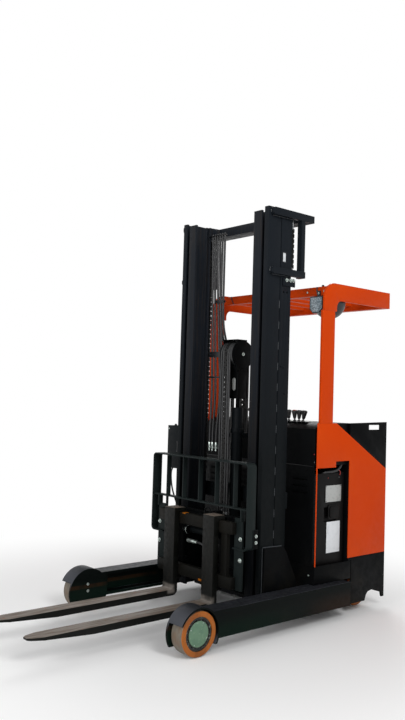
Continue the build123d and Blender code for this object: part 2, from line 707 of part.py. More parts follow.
# Free-lift cylinder, its rod with the crosshead, and the chain sheave
free_base_z = inner_foot_z + 25
free_tube = rod_z(free_tube_x, 0, free_tube_radius, free_base_z, free_tube_top_z)
free_tube += rod_z(free_tube_x, 0, free_tube_radius + 6, 1135, 1165)
anchor_top_z = chain_anchor_z + 30
anchor_y = (min(carriage_hose_y) - 10, max(carriage_hose_y) + 10)
free_tube += block(-905, -795, *anchor_y, chain_anchor_z, anchor_top_z)
free_tube -= rod_z(free_tube_x, 0, free_rod_radius + rod_gap, free_base_z + 30, free_tube_top_z + 1)
write("free_lift_cylinder", free_tube)
free_rod = rod_z(free_tube_x, 0, free_rod_radius, 330, crosshead_bottom_z + 1)
crosshead = block(free_tube_x - 39, free_tube_x + 39, -39, 39, crosshead_bottom_z, crosshead_top_z)
crosshead = fillet(crosshead.edges().filter_by(Axis.Y).sort_by(Axis.Z)[-2:], 20)
slot = Pos(free_tube_x, 0, 1455) * Rot(0, 90, 0) * extrude(SlotOverall(84, 34), 60, both=True)
crosshead -= slot
shelf_z = crosshead_top_z - 20
crosshead += block(free_tube_x - 39, free_tube_x + 39, cheek_far_y, cheek_near_y, shelf_z, shelf_z + 22)
for y0 in (cheek_far_y, cheek_near_y - cheek_plate):
    crosshead += block(cheek_rear_x, cheek_front_x, y0, y0 + cheek_plate, shelf_z, cheek_top_z + 1)
crosshead += block(cheek_rear_x, cheek_front_x, cheek_far_y, cheek_near_y, cheek_top_z, cheek_top_z + 6)
crosshead += rod_y(sheave_x, sheave_z, 14, cheek_far_y, cheek_near_y)
write("crosshead", free_rod + crosshead)
chain_half = chain_width / 2 + 1
sheave_steps = [
    (cheek_far_y + cheek_plate + 1, cheek_far_y + cheek_plate + 4, sheave_flange_radius),
    (cheek_far_y + cheek_plate + 4, sheave_y - chain_half - 4, hose_drum_radius),
    (sheave_y - chain_half - 4, sheave_y - chain_half, sheave_flange_radius),
    (sheave_y - chain_half, sheave_y + chain_half, sheave_radius),
    (sheave_y + chain_half, sheave_y + chain_half + 4, sheave_flange_radius),
    (sheave_y + chain_half + 4, cheek_near_y - cheek_plate - 7, hose_drum_radius),
    (cheek_near_y - cheek_plate - 7, cheek_near_y - cheek_plate - 4, sheave_flange_radius),
]
step_outline = [(14 + pin_gap, sheave_steps[0][0])]
for y0, y1, radius in sheave_steps:
    step_outline += [(radius, y0), (radius, y1)]
step_outline.append((14 + pin_gap, sheave_steps[-1][1]))
sheave_face = make_face(Polyline(*[(sheave_x + r, y, sheave_z) for r, y in step_outline], close=True))
sheave_axis = Axis((sheave_x, 0, sheave_z), (0, 1, 0))
sheave = revolve(sheave_face, sheave_axis)
hose_bend_radius = hose_drum_radius + hose_radius - 0.2
for y in carriage_hose_y:
    hose_face = Plane((sheave_x + hose_bend_radius, y, sheave_z)) * Circle(hose_radius)
    sheave += revolve(hose_face, sheave_axis, -180)
write("chain_sheave", sheave)

# Lift chain and the carriage's hoses: front strands to the carriage, rear strands to the anchor
front_chain_x = sheave_x + sheave_radius
rear_chain_x = sheave_x - sheave_radius
chain_y0 = sheave_y - chain_width / 2
chain_y1 = sheave_y + chain_width / 2
chain_front = block(front_chain_x, front_chain_x + chain_thickness, chain_y0, chain_y1, 640, sheave_z)
chain_rear = block(rear_chain_x - chain_thickness, rear_chain_x, chain_y0, chain_y1, anchor_top_z + 1, sheave_z)
strands = [chain_front, chain_rear]
hose_offset = hose_drum_radius + hose_radius + 0.1
for y in carriage_hose_y:
    strands.append(rod_z(sheave_x + hose_offset, y, hose_radius, carriage_hose_low_z, sheave_z))
    strands.append(rod_z(sheave_x - hose_offset, y, hose_radius, anchor_top_z + 1, sheave_z))
write("lift_chain", *strands)

# Six hoses down the inner mast, clamped to its right-hand column: four end low, two turn back
hose_paths = []
for n, y in enumerate(mast_hose_y):
    path = [(mast_hose_x, y, mast_hose_top_z)]
    if n < len(mast_hose_low_y):
        low_y = mast_hose_low_y[n]
        path += [(mast_hose_x, y, hose_clamp_z[1] - 20), (mast_hose_x, low_y, mast_hose_low_z)]
    else:
        back_y = back_hose_y[n - len(mast_hose_low_y)]
        path += [(mast_hose_x, y, 1850), (back_hose_x, back_y, 1500), (back_hose_x, back_y, back_hose_low_z)]
    hose_paths.append(path)
mast_hoses = Part()
for path in hose_paths:
    line = FilletPolyline(*path, radius=hose_turn_radius)
    mast_hoses += sweep(Plane(path[0]) * Circle(hose_radius), line)
for z in hose_clamp_z:
    clamp_y = (-inner_face_y + 0.3, max(mast_hose_y) + 9)
    mast_hoses += block(mast_hose_x - 12, mast_hose_x - 2, *clamp_y, z - 10, z + 10)
write("mast_hoses", mast_hoses)

# Side cover beside the right-hand column, with an open window below
cover_outer_y = -518
mast_cover = block(-716, mast_front_x - 3, cover_outer_y, -mast_half_width, 872, 1162)
mast_cover -= block(-717, mast_front_x - 6, cover_outer_y + 3, -mast_half_width - 2, 875, 1159)
mast_cover += block(-716, mast_front_x - 3, cover_outer_y, cover_outer_y + 3, 560, 1162)
mast_cover += block(mast_front_x - 6, mast_front_x - 3, cover_outer_y, cover_outer_y + 26, 560, 1162)
write("mast_side_cover", mast_cover)

# Lift carriage: side plates with rollers in the inner mast, tied by two bars
carriage_inner_y = carriage_plate_y - carriage_plate
lift_carriage = Part()
plate_points = [(-738, 190), (-610, 190), (carriage_front_x - 20, 215), (carriage_front_x - 20, 640), (-640, 640), (-738, 620)]
for plate in both_sides(side_profile(plate_points, carriage_inner_y, carriage_plate_y)):
    lift_carriage += plate
for z0, z1 in ((200, 270), (570, 640)):
    lift_carriage += block(carriage_front_x - 20, carriage_front_x, -carriage_plate_y, carriage_plate_y, z0, z1)
lift_carriage += block(front_chain_x + chain_thickness + 6, carriage_front_x - 19, sheave_y - 16, sheave_y + 16, 600, 630)
for y in (-207, 207):
    lift_carriage += block(carriage_front_x - 20, tilt_pin_x + 18, y - 8, y + 8, 262, 325)
    lift_carriage += rod_y(tilt_pin_x, tilt_pin_z, tilt_pin_radius, y - 28, y + 28)
write("lift_carriage", lift_carriage)
carriage_rollers = []
carriage_roller_radius = mast_depth / 2 - mast_flange - runner_gap
for z in (carriage_roller_low_z, carriage_roller_high_z):
    roller = rod_y(carriage_roller_x, z, carriage_roller_radius, carriage_plate_y + 6, web_low_y - 5)
    roller += rod_y(carriage_roller_x, z, 20, carriage_plate_y, carriage_plate_y + 7)
    carriage_rollers += both_sides(roller)
write("carriage_rollers", *carriage_rollers)

# Tilt frame: ears on the lift carriage's pins, uprights and two slide rails
tilt_front_x = tilt_frame_rear_x + tilt_frame_depth
tilt_frame = Part()
for y0, y1 in ((216, 232), (182, 198)):
    ear = block(tilt_pin_x - 22, tilt_frame_rear_x + 1, y0, y1, tilt_pin_z - 22, tilt_pin_z + 22)
    ear -= rod_y(tilt_pin_x, tilt_pin_z, tilt_pin_radius + pin_gap, y0 - 1, y1 + 1)
    for side in both_sides(ear):
        tilt_frame += side
for upright in both_sides(block(tilt_frame_rear_x, tilt_front_x, 175, 239, 215, 640)):
    tilt_frame += upright
for z0, z1 in ((235, 290), (575, 625)):
    tilt_frame += block(tilt_frame_rear_x, tilt_front_x, -300, 300, z0, z1)
write("tilt_frame", tilt_frame)

# Side-shift cylinder across the tilt frame
shift_z = 520
shift_x = tilt_front_x - 10
shift = rod_y(shift_x, shift_z, 22, -175, 175)
write("side_shift_cylinder", shift)

# Fork carriage: two hook bars with uprights, sliding sideways on the tilt frame
bar_rear_x = fork_bar_front_x - fork_bar_depth
fork_bars = Part()
for z0 in (fork_bar_low_z, fork_bar_top_z - fork_bar_height):
    fork_bars += block(bar_rear_x, fork_bar_front_x, -fork_bar_half_length, fork_bar_half_length, z0, z0 + fork_bar_height)
for upright in both_sides(block(bar_rear_x, fork_bar_front_x - 6, 250, 300, fork_bar_low_z, fork_bar_top_z)):
    fork_bars += upright
for z0, z1 in ((fork_bar_top_z - fork_bar_height, fork_bar_top_z - fork_lip - 6),
               (fork_bar_low_z + 10, fork_bar_low_z + fork_bar_height)):
    for hook in both_sides(block(tilt_front_x + runner_gap, bar_rear_x + 1, 250, 290, z0, z1)):
        fork_bars += hook
write("fork_bars", fork_bars)

# Load backrest: a hoop of flat bar with a mid bar and short uprights, on two bolted plates
rear_x = backrest_front_x - backrest_depth
hoop_points = RectangleRounded(2 * backrest_half_width, backrest_top_z - backrest_low_z, backrest_corner)
hole = RectangleRounded(2 * backrest_half_width - 2 * backrest_bar, backrest_top_z - backrest_low_z - 2 * backrest_bar,
                        backrest_corner - backrest_bar)
hoop_mid_z = (backrest_top_z + backrest_low_z) / 2
upright_plane = Plane(origin=(backrest_front_x, 0, hoop_mid_z), x_dir=(0, 1, 0), z_dir=(1, 0, 0))
hoop = extrude(upright_plane * (hoop_points - hole), -backrest_depth)
hoop -= block(rear_x - 1, backrest_front_x + 1, -335, 335, backrest_low_z - 1, backrest_low_z + 40)
backrest = hoop + block(rear_x + 20, backrest_front_x - 10, -backrest_half_width + 1, backrest_half_width - 1,
                        backrest_mid_z - 4, backrest_mid_z + 4)
for y in (-321, -156, 0, 156, 321):
    backrest += block(rear_x + 24, backrest_front_x - 14, y - 4, y + 4, backrest_mid_z, backrest_top_z - 4)
plate_y1 = backrest_plate_y + 68
for plate in both_sides(block(bar_rear_x - backrest_plate, bar_rear_x, backrest_plate_y, plate_y1, 232, 655)):
    backrest += plate
for stay in both_sides(block(rear_x + 28, bar_rear_x + 12, plate_y1 - 12, plate_y1 - 2, 640, backrest_mid_z)):
    backrest += stay
write("load_backrest", backrest)

# Forks: hooked shanks and tapered blades
heel_low_z = fork_heel_z - fork_thickness
shank_rear_x = fork_face_x - fork_thickness - 2
fork_points = [
    (shank_rear_x, heel_low_z),
    (fork_tip_x - 380, heel_low_z),
    (fork_tip_x - 4, fork_heel_z - fork_tip_thickness),
    (fork_tip_x, fork_heel_z - 5),
    (fork_tip_x - 3, fork_heel_z),
    (fork_face_x, fork_heel_z),
    (fork_face_x, fork_top_z),
    (bar_rear_x - 10, fork_top_z),
    (bar_rear_x - 10, fork_bar_top_z - fork_lip),
    (bar_rear_x - hook_gap, fork_bar_top_z - fork_lip),
    (bar_rear_x - hook_gap, fork_bar_top_z + hook_gap),
    (shank_rear_x, fork_bar_top_z + hook_gap),
]
fork = side_profile(fork_points, fork_y - fork_width / 2, fork_y + fork_width / 2)
for corner_x, corner_z, radius in ((shank_rear_x, heel_low_z, fork_heel_radius), (fork_face_x, fork_heel_z, 14)):
    heel = [edge for edge in fork.edges().filter_by(Axis.Y)
            if abs(edge.center().X - corner_x) < 1 and abs(edge.center().Z - corner_z) < 1]
    fork = fillet(heel, radius)
hook_points = [(shank_rear_x + 1, 200), (shank_rear_x + 1, fork_bar_low_z - hook_gap), (bar_rear_x - hook_gap, fork_bar_low_z - hook_gap),
               (bar_rear_x - hook_gap, fork_bar_low_z + 3), (bar_rear_x - 10, fork_bar_low_z + 3), (bar_rear_x - 10, 212)]
fork += side_profile(hook_points, fork_y - 35, fork_y + 35)
half = fork_width / 2
tip_cut = plan_profile([(fork_tip_x - 90, fork_y + half + 1), (fork_tip_x + 1, fork_y + half + 1),
                        (fork_tip_x + 1, fork_y + 14), (fork_tip_x - 20, fork_y + 32)], 90, 160)
far_cut = plan_profile([(fork_tip_x - 90, fork_y - half - 1), (fork_tip_x + 1, fork_y - half - 1),
                        (fork_tip_x + 1, fork_y - 14), (fork_tip_x - 20, fork_y - 32)], 90, 160)
fork = fork - tip_cut - far_cut
write("fork_left", fork)
write("fork_right", mirror(fork, about=Plane.XZ))
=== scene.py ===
import math

import bmesh
import bpy
from mathutils import Matrix, Vector


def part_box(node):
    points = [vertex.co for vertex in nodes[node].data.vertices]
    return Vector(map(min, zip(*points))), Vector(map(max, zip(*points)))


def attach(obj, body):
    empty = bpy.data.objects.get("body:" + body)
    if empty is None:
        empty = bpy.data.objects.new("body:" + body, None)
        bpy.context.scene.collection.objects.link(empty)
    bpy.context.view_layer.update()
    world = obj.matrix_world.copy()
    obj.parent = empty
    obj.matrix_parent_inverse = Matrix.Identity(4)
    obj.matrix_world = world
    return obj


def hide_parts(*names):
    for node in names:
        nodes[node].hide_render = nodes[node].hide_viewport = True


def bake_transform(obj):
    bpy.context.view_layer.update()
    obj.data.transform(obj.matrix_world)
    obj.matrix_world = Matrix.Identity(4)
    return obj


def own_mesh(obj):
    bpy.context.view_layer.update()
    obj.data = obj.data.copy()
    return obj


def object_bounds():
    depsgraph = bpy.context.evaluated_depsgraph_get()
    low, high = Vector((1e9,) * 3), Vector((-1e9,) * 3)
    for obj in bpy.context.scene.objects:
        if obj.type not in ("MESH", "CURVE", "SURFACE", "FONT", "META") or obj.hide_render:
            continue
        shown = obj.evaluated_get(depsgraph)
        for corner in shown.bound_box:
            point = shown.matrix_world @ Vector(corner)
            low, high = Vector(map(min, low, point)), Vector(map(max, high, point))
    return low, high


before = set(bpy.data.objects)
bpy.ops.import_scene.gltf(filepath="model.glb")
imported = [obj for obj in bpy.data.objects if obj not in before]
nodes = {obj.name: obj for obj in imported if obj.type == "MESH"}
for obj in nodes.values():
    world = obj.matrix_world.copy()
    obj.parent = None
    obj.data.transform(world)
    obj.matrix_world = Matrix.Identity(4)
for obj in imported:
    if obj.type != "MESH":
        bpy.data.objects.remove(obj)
cad_low, cad_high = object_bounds()

scene = bpy.context.scene
MM = 0.001
X_AXIS = Vector((1, 0, 0))
Y_AXIS = Vector((0, 1, 0))
Z_AXIS = Vector((0, 0, 1))
wheel_low, wheel_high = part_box("load_tyre_left")
axle_x = (wheel_low.x + wheel_high.x) / 2


def at(x, y, z):
    """A point in millimetres from the load wheels' axle, the truck's middle and the floor."""
    return Vector((axle_x + x * MM, y * MM, z * MM))


# Materials

def srgb(red, green, blue):
    """A colour given as 0 to 255 values, as linear numbers."""
    def linear(value):
        value /= 255
        return value / 12.92 if value <= 0.04045 else ((value + 0.055) / 1.055) ** 2.4
    return (linear(red), linear(green), linear(blue), 1)


class Look:
    """A node material in the making. Its colours are 0 to 255 values."""

    def __init__(self, name, base, rough, metal=0.0):
        self.material = bpy.data.materials.new(name)
        self.material.use_nodes = True
        self.tree = self.material.node_tree
        self.shader = self.tree.nodes["Principled BSDF"]
        self.shader.inputs["Roughness"].default_value = rough
        self.shader.inputs["Metallic"].default_value = metal
        self.base = srgb(*base)
        self.shader.inputs["Base Color"].default_value = self.base
        self.color = None
        self.place = self.tree.nodes.new("ShaderNodeTexCoord").outputs["Object"]
        self.normal = self.place.node.outputs["Normal"]

    def node(self, kind, **settings):
        made = self.tree.nodes.new(kind)
        for key, value in settings.items():
            setattr(made, key, value)
        return made

    def join(self, source, target):
        self.tree.links.new(source, target)

    def stretched(self, scale):
        """The place on the object, stretched by a scale along each axis."""
        mapping = self.node("ShaderNodeMapping")
        mapping.inputs["Scale"].default_value = scale
        self.join(self.place, mapping.inputs["Vector"])
        return mapping.outputs["Vector"]

    def noise(self, scale, detail=3.0, stretch=None):
        made = self.node("ShaderNodeTexNoise")
        made.inputs["Scale"].default_value = scale
        made.inputs["Detail"].default_value = detail
        self.join(self.stretched(stretch) if stretch else self.place, made.inputs["Vector"])
        return made.outputs["Fac"]

    def ramp(self, source, low, high, out_low=0.0, out_high=1.0):
        made = self.node("ShaderNodeMapRange", interpolation_type="SMOOTHSTEP")
        made.inputs["From Min"].default_value = low
        made.inputs["From Max"].default_value = high
        made.inputs["To Min"].default_value = out_low
        made.inputs["To Max"].default_value = out_high
        self.join(source, made.inputs["Value"])
        return made.outputs["Result"]

    def times(self, *factors):
        """The product of sockets and numbers, a socket first."""
        product = factors[0]
        for factor in factors[1:]:
            made = self.node("ShaderNodeMath", operation="MULTIPLY")
            self.join(product, made.inputs[0])
            if isinstance(factor, float):
                made.inputs[1].default_value = factor
            else:
                self.join(factor, made.inputs[1])
            product = made.outputs[0]
        return product

    def part(self, which, normal=False):
        made = self.node("ShaderNodeSeparateXYZ")
        self.join(self.normal if normal else self.place, made.inputs[0])
        return made.outputs[which]

    def band(self, which, low, high, soft):
        """1 between two places along an axis, fading to 0 outside."""
        source = self.part(which)
        above = self.ramp(source, low - soft, low)
        return self.times(above, self.ramp(source, high, high + soft, 1.0, 0.0))

    def tint(self, colour, amount):
        """Mixes a colour over what is there, by a number from 0 to 1."""
        made = self.node("ShaderNodeMix", data_type="RGBA")
        if self.color is None:
            made.inputs["A"].default_value = self.base
        else:
            self.join(self.color, made.inputs["A"])
        made.inputs["B"].default_value = srgb(*colour)
        self.join(amount, made.inputs["Factor"])
        self.color = made.outputs["Result"]
        self.join(self.color, self.shader.inputs["Base Color"])
        return self

    def patches(self, colour, scale, detail, low, high, strength=1.0, stretch=None):
        """Tints the patches where a noise pattern is above a threshold."""
        return self.tint(colour, self.ramp(self.noise(scale, detail, stretch), low, high, 0.0, strength))

    def shine(self, level):
        self.shader.inputs["Specular IOR Level"].default_value = level
        return self

    def rough(self, source, low, high):
        self.join(self.ramp(source, 0.3, 0.7, low, high), self.shader.inputs["Roughness"])
        return self

    def bump(self, source, depth, strength=0.4):
        made = self.node("ShaderNodeBump")
        made.inputs["Strength"].default_value = strength
        made.inputs["Distance"].default_value = depth
        self.join(source, made.inputs["Height"])
        if self.shader.inputs["Normal"].links:
            self.join(self.shader.inputs["Normal"].links[0].from_socket, made.inputs["Normal"])
        self.join(made.outputs["Normal"], self.shader.inputs["Normal"])
        return self

    def grain(self, scale, detail, depth, strength, stretch=None):
        """A fine bump from a noise pattern."""
        return self.bump(self.noise(scale, detail, stretch), depth, strength)


def painted(name, base, rough, dark, light, dust=None, dust_top=0.45):
    """Satin paint with a slow change of tone, a fine orange-peel skin and dust low down."""
    look = Look(name, base, rough).shine(0.05)
    slow = look.noise(2.2, 4)
    look.tint(dark, look.ramp(slow, 0.5, 0.75, 0.0, 0.5))
    look.tint(light, look.ramp(slow, 0.48, 0.22, 0.0, 0.45))
    if dust:
        patchy = look.ramp(look.noise(9, 6), 0.42, 0.72)
        low_down = look.ramp(look.part("Z"), 0.02, dust_top, 1.0, 0.0)
        look.tint(dust, look.times(patchy, low_down, 0.45))
    look.rough(look.noise(35, 4), rough - 0.07, rough + 0.09)
    return look.grain(650, 2, 0.0004, 0.25)


orange = painted("orange_paint", (200, 63, 8), 0.42, (188, 54, 6), (208, 74, 14), (120, 56, 28), 0.6)
black = painted("black_paint", (5, 6, 7), 0.5, (7, 8, 9), (16, 18, 19), (36, 33, 28), 0.5)
# Near-black painted shade for the battery and the bay insets, darker than their paint
bay_shade_black = Look("battery_bay_painted_shade", (5, 4, 4), 0.5).shine(0.12)
frame_grey = painted("backrest_paint", (28, 34, 34), 0.4, (22, 27, 27), (36, 42, 42))
mast_grey = painted("mast_paint", (23, 27, 32), 0.42, (21, 24, 28), (32, 36, 42))
# Painted shade: the mast darkens towards the bottom, standing in for less light low down
mast_grey.tint((13, 16, 16), mast_grey.ramp(mast_grey.part("Z"), 2.3, 0.5, 0.0, 0.85))
greased = painted("greased_mast_paint", (27, 31, 37), 0.36, (24, 27, 31), (38, 42, 47))
greased.patches((50, 44, 39), 3, 5, 0.46, 0.7, 0.45, (30, 30, 1.2))
# Painted shade: the inner mast darkens towards the bottom, standing in for less light low down
greased.tint((9, 10, 11), greased.ramp(greased.part("Z"), 1.9, 0.8, 0.0, 0.8))

# Leg paint: a grease line inside, painted reflections in green and brown low on the outside, painted
# highlights on fenders, top edges and tops
legs = painted("leg_paint", (7, 11, 10), 0.4, (9, 13, 12), (20, 25, 25), (34, 30, 24), 0.2)
leg_x, leg_y, leg_z = (legs.part(axis) for axis in "XYZ")
facing_x, facing_y, facing_z = (legs.part(axis, normal=True) for axis in "XYZ")
inside = legs.times(legs.ramp(leg_y, 0.57, 0.585, 1.0, 0.0), legs.ramp(leg_y, -0.585, -0.57))
grease_line = legs.times(legs.band("Z", 0.142, 0.16, 0.006), legs.ramp(legs.noise(7, 3), 0.35, 0.6))
legs.tint((60, 34, 18), legs.times(grease_line, inside, 0.6))
# Painted reflections: green towards the wheels and brown further back, low on the outer sides
low_side_reflection = legs.times(legs.ramp(leg_z, 0.2, 0.1), legs.ramp(facing_y, 0.5, 0.9))
legs.tint((8, 26, 19), legs.times(low_side_reflection, legs.ramp(leg_x, -0.5, 0.1), 0.7))
legs.tint((34, 20, 9), legs.times(low_side_reflection, legs.ramp(leg_x, -0.3, -0.7), 0.7))
# Painted sheen on the fenders, where faces turn forward and up
legs.tint((78, 80, 86), legs.times(legs.ramp(facing_x, 0.1, 0.6), legs.ramp(facing_z, 0.1, 0.5), 0.8))
# Painted highlight along the legs' top edges
top_edge_highlight = legs.times(legs.ramp(facing_z, 0.2, 0.5), legs.ramp(facing_y, 0.2, 0.5))
legs.tint((88, 92, 100), legs.times(top_edge_highlight, legs.ramp(leg_x, 0.25, 0.1, 0.0, 0.85)))
# Painted light on the legs' upward-facing tops
lit_top_face = legs.times(legs.ramp(facing_z, 0.6, 0.95), legs.ramp(leg_z, 0.17, 0.2))
legs.tint((46, 47, 52), legs.times(lit_top_face, legs.ramp(legs.noise(5, 3), 0.3, 0.7, 0.35, 0.75)))

# Fork bars, with a smear of grease on each
bar_paint = painted("fork_bar_paint", (20, 20, 18), 0.4, (13, 13, 12), (34, 30, 24))
for low_y, high_y, low_z, high_z in ((-0.112, -0.088, 0.624, 0.66), (0.06, 0.084, 0.236, 0.246)):
    across = bar_paint.band("Y", low_y, high_y, 0.006)
    upright = bar_paint.band("Z", low_z, high_z, 0.003)
    speckled = bar_paint.ramp(bar_paint.noise(60, 3), 0.3, 0.5, 0.5, 1.0)
    bar_paint.tint((172, 100, 24), bar_paint.times(across, upright, speckled))

# Forks: dark shanks, worn tops with rust, pale heels from wear and a painted highlight on the bend
forks = Look("fork_steel", (7, 8, 6), 0.55).shine(0.15)
fork_top = forks.ramp(forks.part("Z", normal=True), 0.5, 0.9)
fork_front = forks.ramp(forks.part("X", normal=True), 0.5, 0.9)
along = forks.noise(4, 8, (1.5, 14, 14))
forks.tint((24, 20, 15), forks.times(fork_front, forks.ramp(forks.noise(60, 8), 0.56, 0.72)))
forks.tint((112, 103, 95), fork_top)
forks.tint((86, 74, 64), forks.times(fork_top, forks.ramp(along, 0.42, 0.62, 0.0, 0.8)))
forks.tint((138, 131, 124), forks.times(fork_top, forks.ramp(along, 0.6, 0.75, 0.0, 0.7)))
forks.tint((122, 72, 40), forks.times(fork_top, forks.ramp(forks.noise(26, 7), 0.6, 0.72), 0.6))
# Pale band across the heels: partly wear, partly a painted highlight on the bend
heel_wear_and_highlight = forks.times(forks.band("Z", 0.135, 0.165, 0.02), forks.band("X", 0.045, 0.08, 0.02))
forks.tint((118, 112, 106), forks.times(heel_wear_and_highlight, forks.ramp(forks.noise(16, 3), 0.3, 0.6, 0.25, 0.8)))
forks.rough(along, 0.36, 0.6).grain(120, 5, 0.0006, 0.3)

urethane = Look("tyre_side", (158, 88, 26), 0.42).shine(0.25)
urethane.patches((118, 64, 20), 9, 5, 0.42, 0.66, 0.75)
urethane.patches((80, 56, 34), 55, 6, 0.6, 0.75, 0.6).grain(180, 4, 0.0004, 0.3)
urethane.shader.inputs["Subsurface Weight"].default_value = 0.05
tread = Look("tyre_tread", (100, 94, 84), 0.65)
tread.patches((120, 112, 99), 20, 6, 0.4, 0.65, 0.8, (1, 9, 1))
tread.patches((120, 82, 48), 6, 4, 0.52, 0.7, 0.6).grain(90, 6, 0.0006, 0.4, (1, 6, 1))

cast = Look("hub_casting", (22, 22, 21), 0.46, 0.2)
cast.patches((112, 122, 112), 85, 6, 0.54, 0.62, 0.75)
cast.patches((12, 14, 12), 16, 4, 0.5, 0.62, 0.85).grain(220, 5, 0.0009, 0.6)
primer = Look("hub_primer", (90, 122, 97), 0.55)
primer.patches((80, 112, 90), 22, 5, 0.45, 0.65, 0.8)
primer.patches((120, 146, 122), 48, 5, 0.58, 0.72, 0.7).grain(160, 4, 0.0005, 0.4)

steel = Look("machined_steel", (122, 124, 126), 0.34, 0.85)
steel.patches((84, 80, 74), 40, 6, 0.5, 0.7, 0.7).grain(300, 3, 0.0002, 0.3)
zinc = Look("zinc_bolt", (200, 210, 205), 0.28, 0.9).patches((140, 150, 146), 300, 4, 0.5, 0.7, 0.6)
chrome = Look("rod_chrome", (196, 198, 200), 0.12, 1.0).patches((150, 150, 150), 30, 4, 0.55, 0.7, 0.5)
oily = Look("chain_steel", (30, 30, 30), 0.42, 0.3).patches((70, 66, 62), 140, 5, 0.55, 0.7, 0.6)
rubber = Look("hose_rubber", (18, 19, 21), 0.42)
rubber.patches((32, 33, 36), 24, 5, 0.5, 0.7, 0.7).grain(500, 3, 0.0003, 0.4)
plastic = Look("black_plastic", (17, 18, 20), 0.42)
plastic.patches((27, 28, 31), 16, 4, 0.5, 0.7, 0.6).grain(900, 2, 0.0003, 0.35)
grip_orange = Look("lever_cap", (178, 66, 34), 0.45).grain(600, 2, 0.0002, 0.3)
matting = Look("floor_rubber", (30, 30, 31), 0.7)
matting.patches((58, 54, 48), 12, 6, 0.48, 0.7, 0.7).grain(240, 4, 0.0008, 0.5)
lens = Look("lamp_lens", (150, 164, 172), 0.12)
cells = lens.node("ShaderNodeTexVoronoi")
cells.inputs["Scale"].default_value = 95
lens.join(lens.place, cells.inputs["Vector"])
lens.tint((90, 104, 112), lens.ramp(cells.outputs["Distance"], 0.3, 0.6, 0.0, 0.9))
lens.tint((214, 222, 224), lens.ramp(cells.outputs["Distance"], 0.16, 0.04, 0.0, 0.8))
lens.bump(cells.outputs["Distance"], 0.002, 0.6)
lens.shader.inputs["Coat Weight"].default_value = 0.7
plate = Look("blank_plate", (168, 170, 168), 0.4, 0.2).patches((140, 142, 141), 50, 5, 0.5, 0.7, 0.5)
card = Look("blank_sheet", (214, 217, 220), 0.45).patches((188, 193, 198), 30, 4, 0.5, 0.7, 0.4)
red_wire = Look("red_wire", (150, 40, 30), 0.45).grain(400, 2, 0.0002, 0.2)
weld = Look("weld_bead", (44, 48, 52), 0.36)
weld.patches((66, 70, 74), 160, 4, 0.45, 0.65).grain(260, 4, 0.001, 0.6)


# Forms

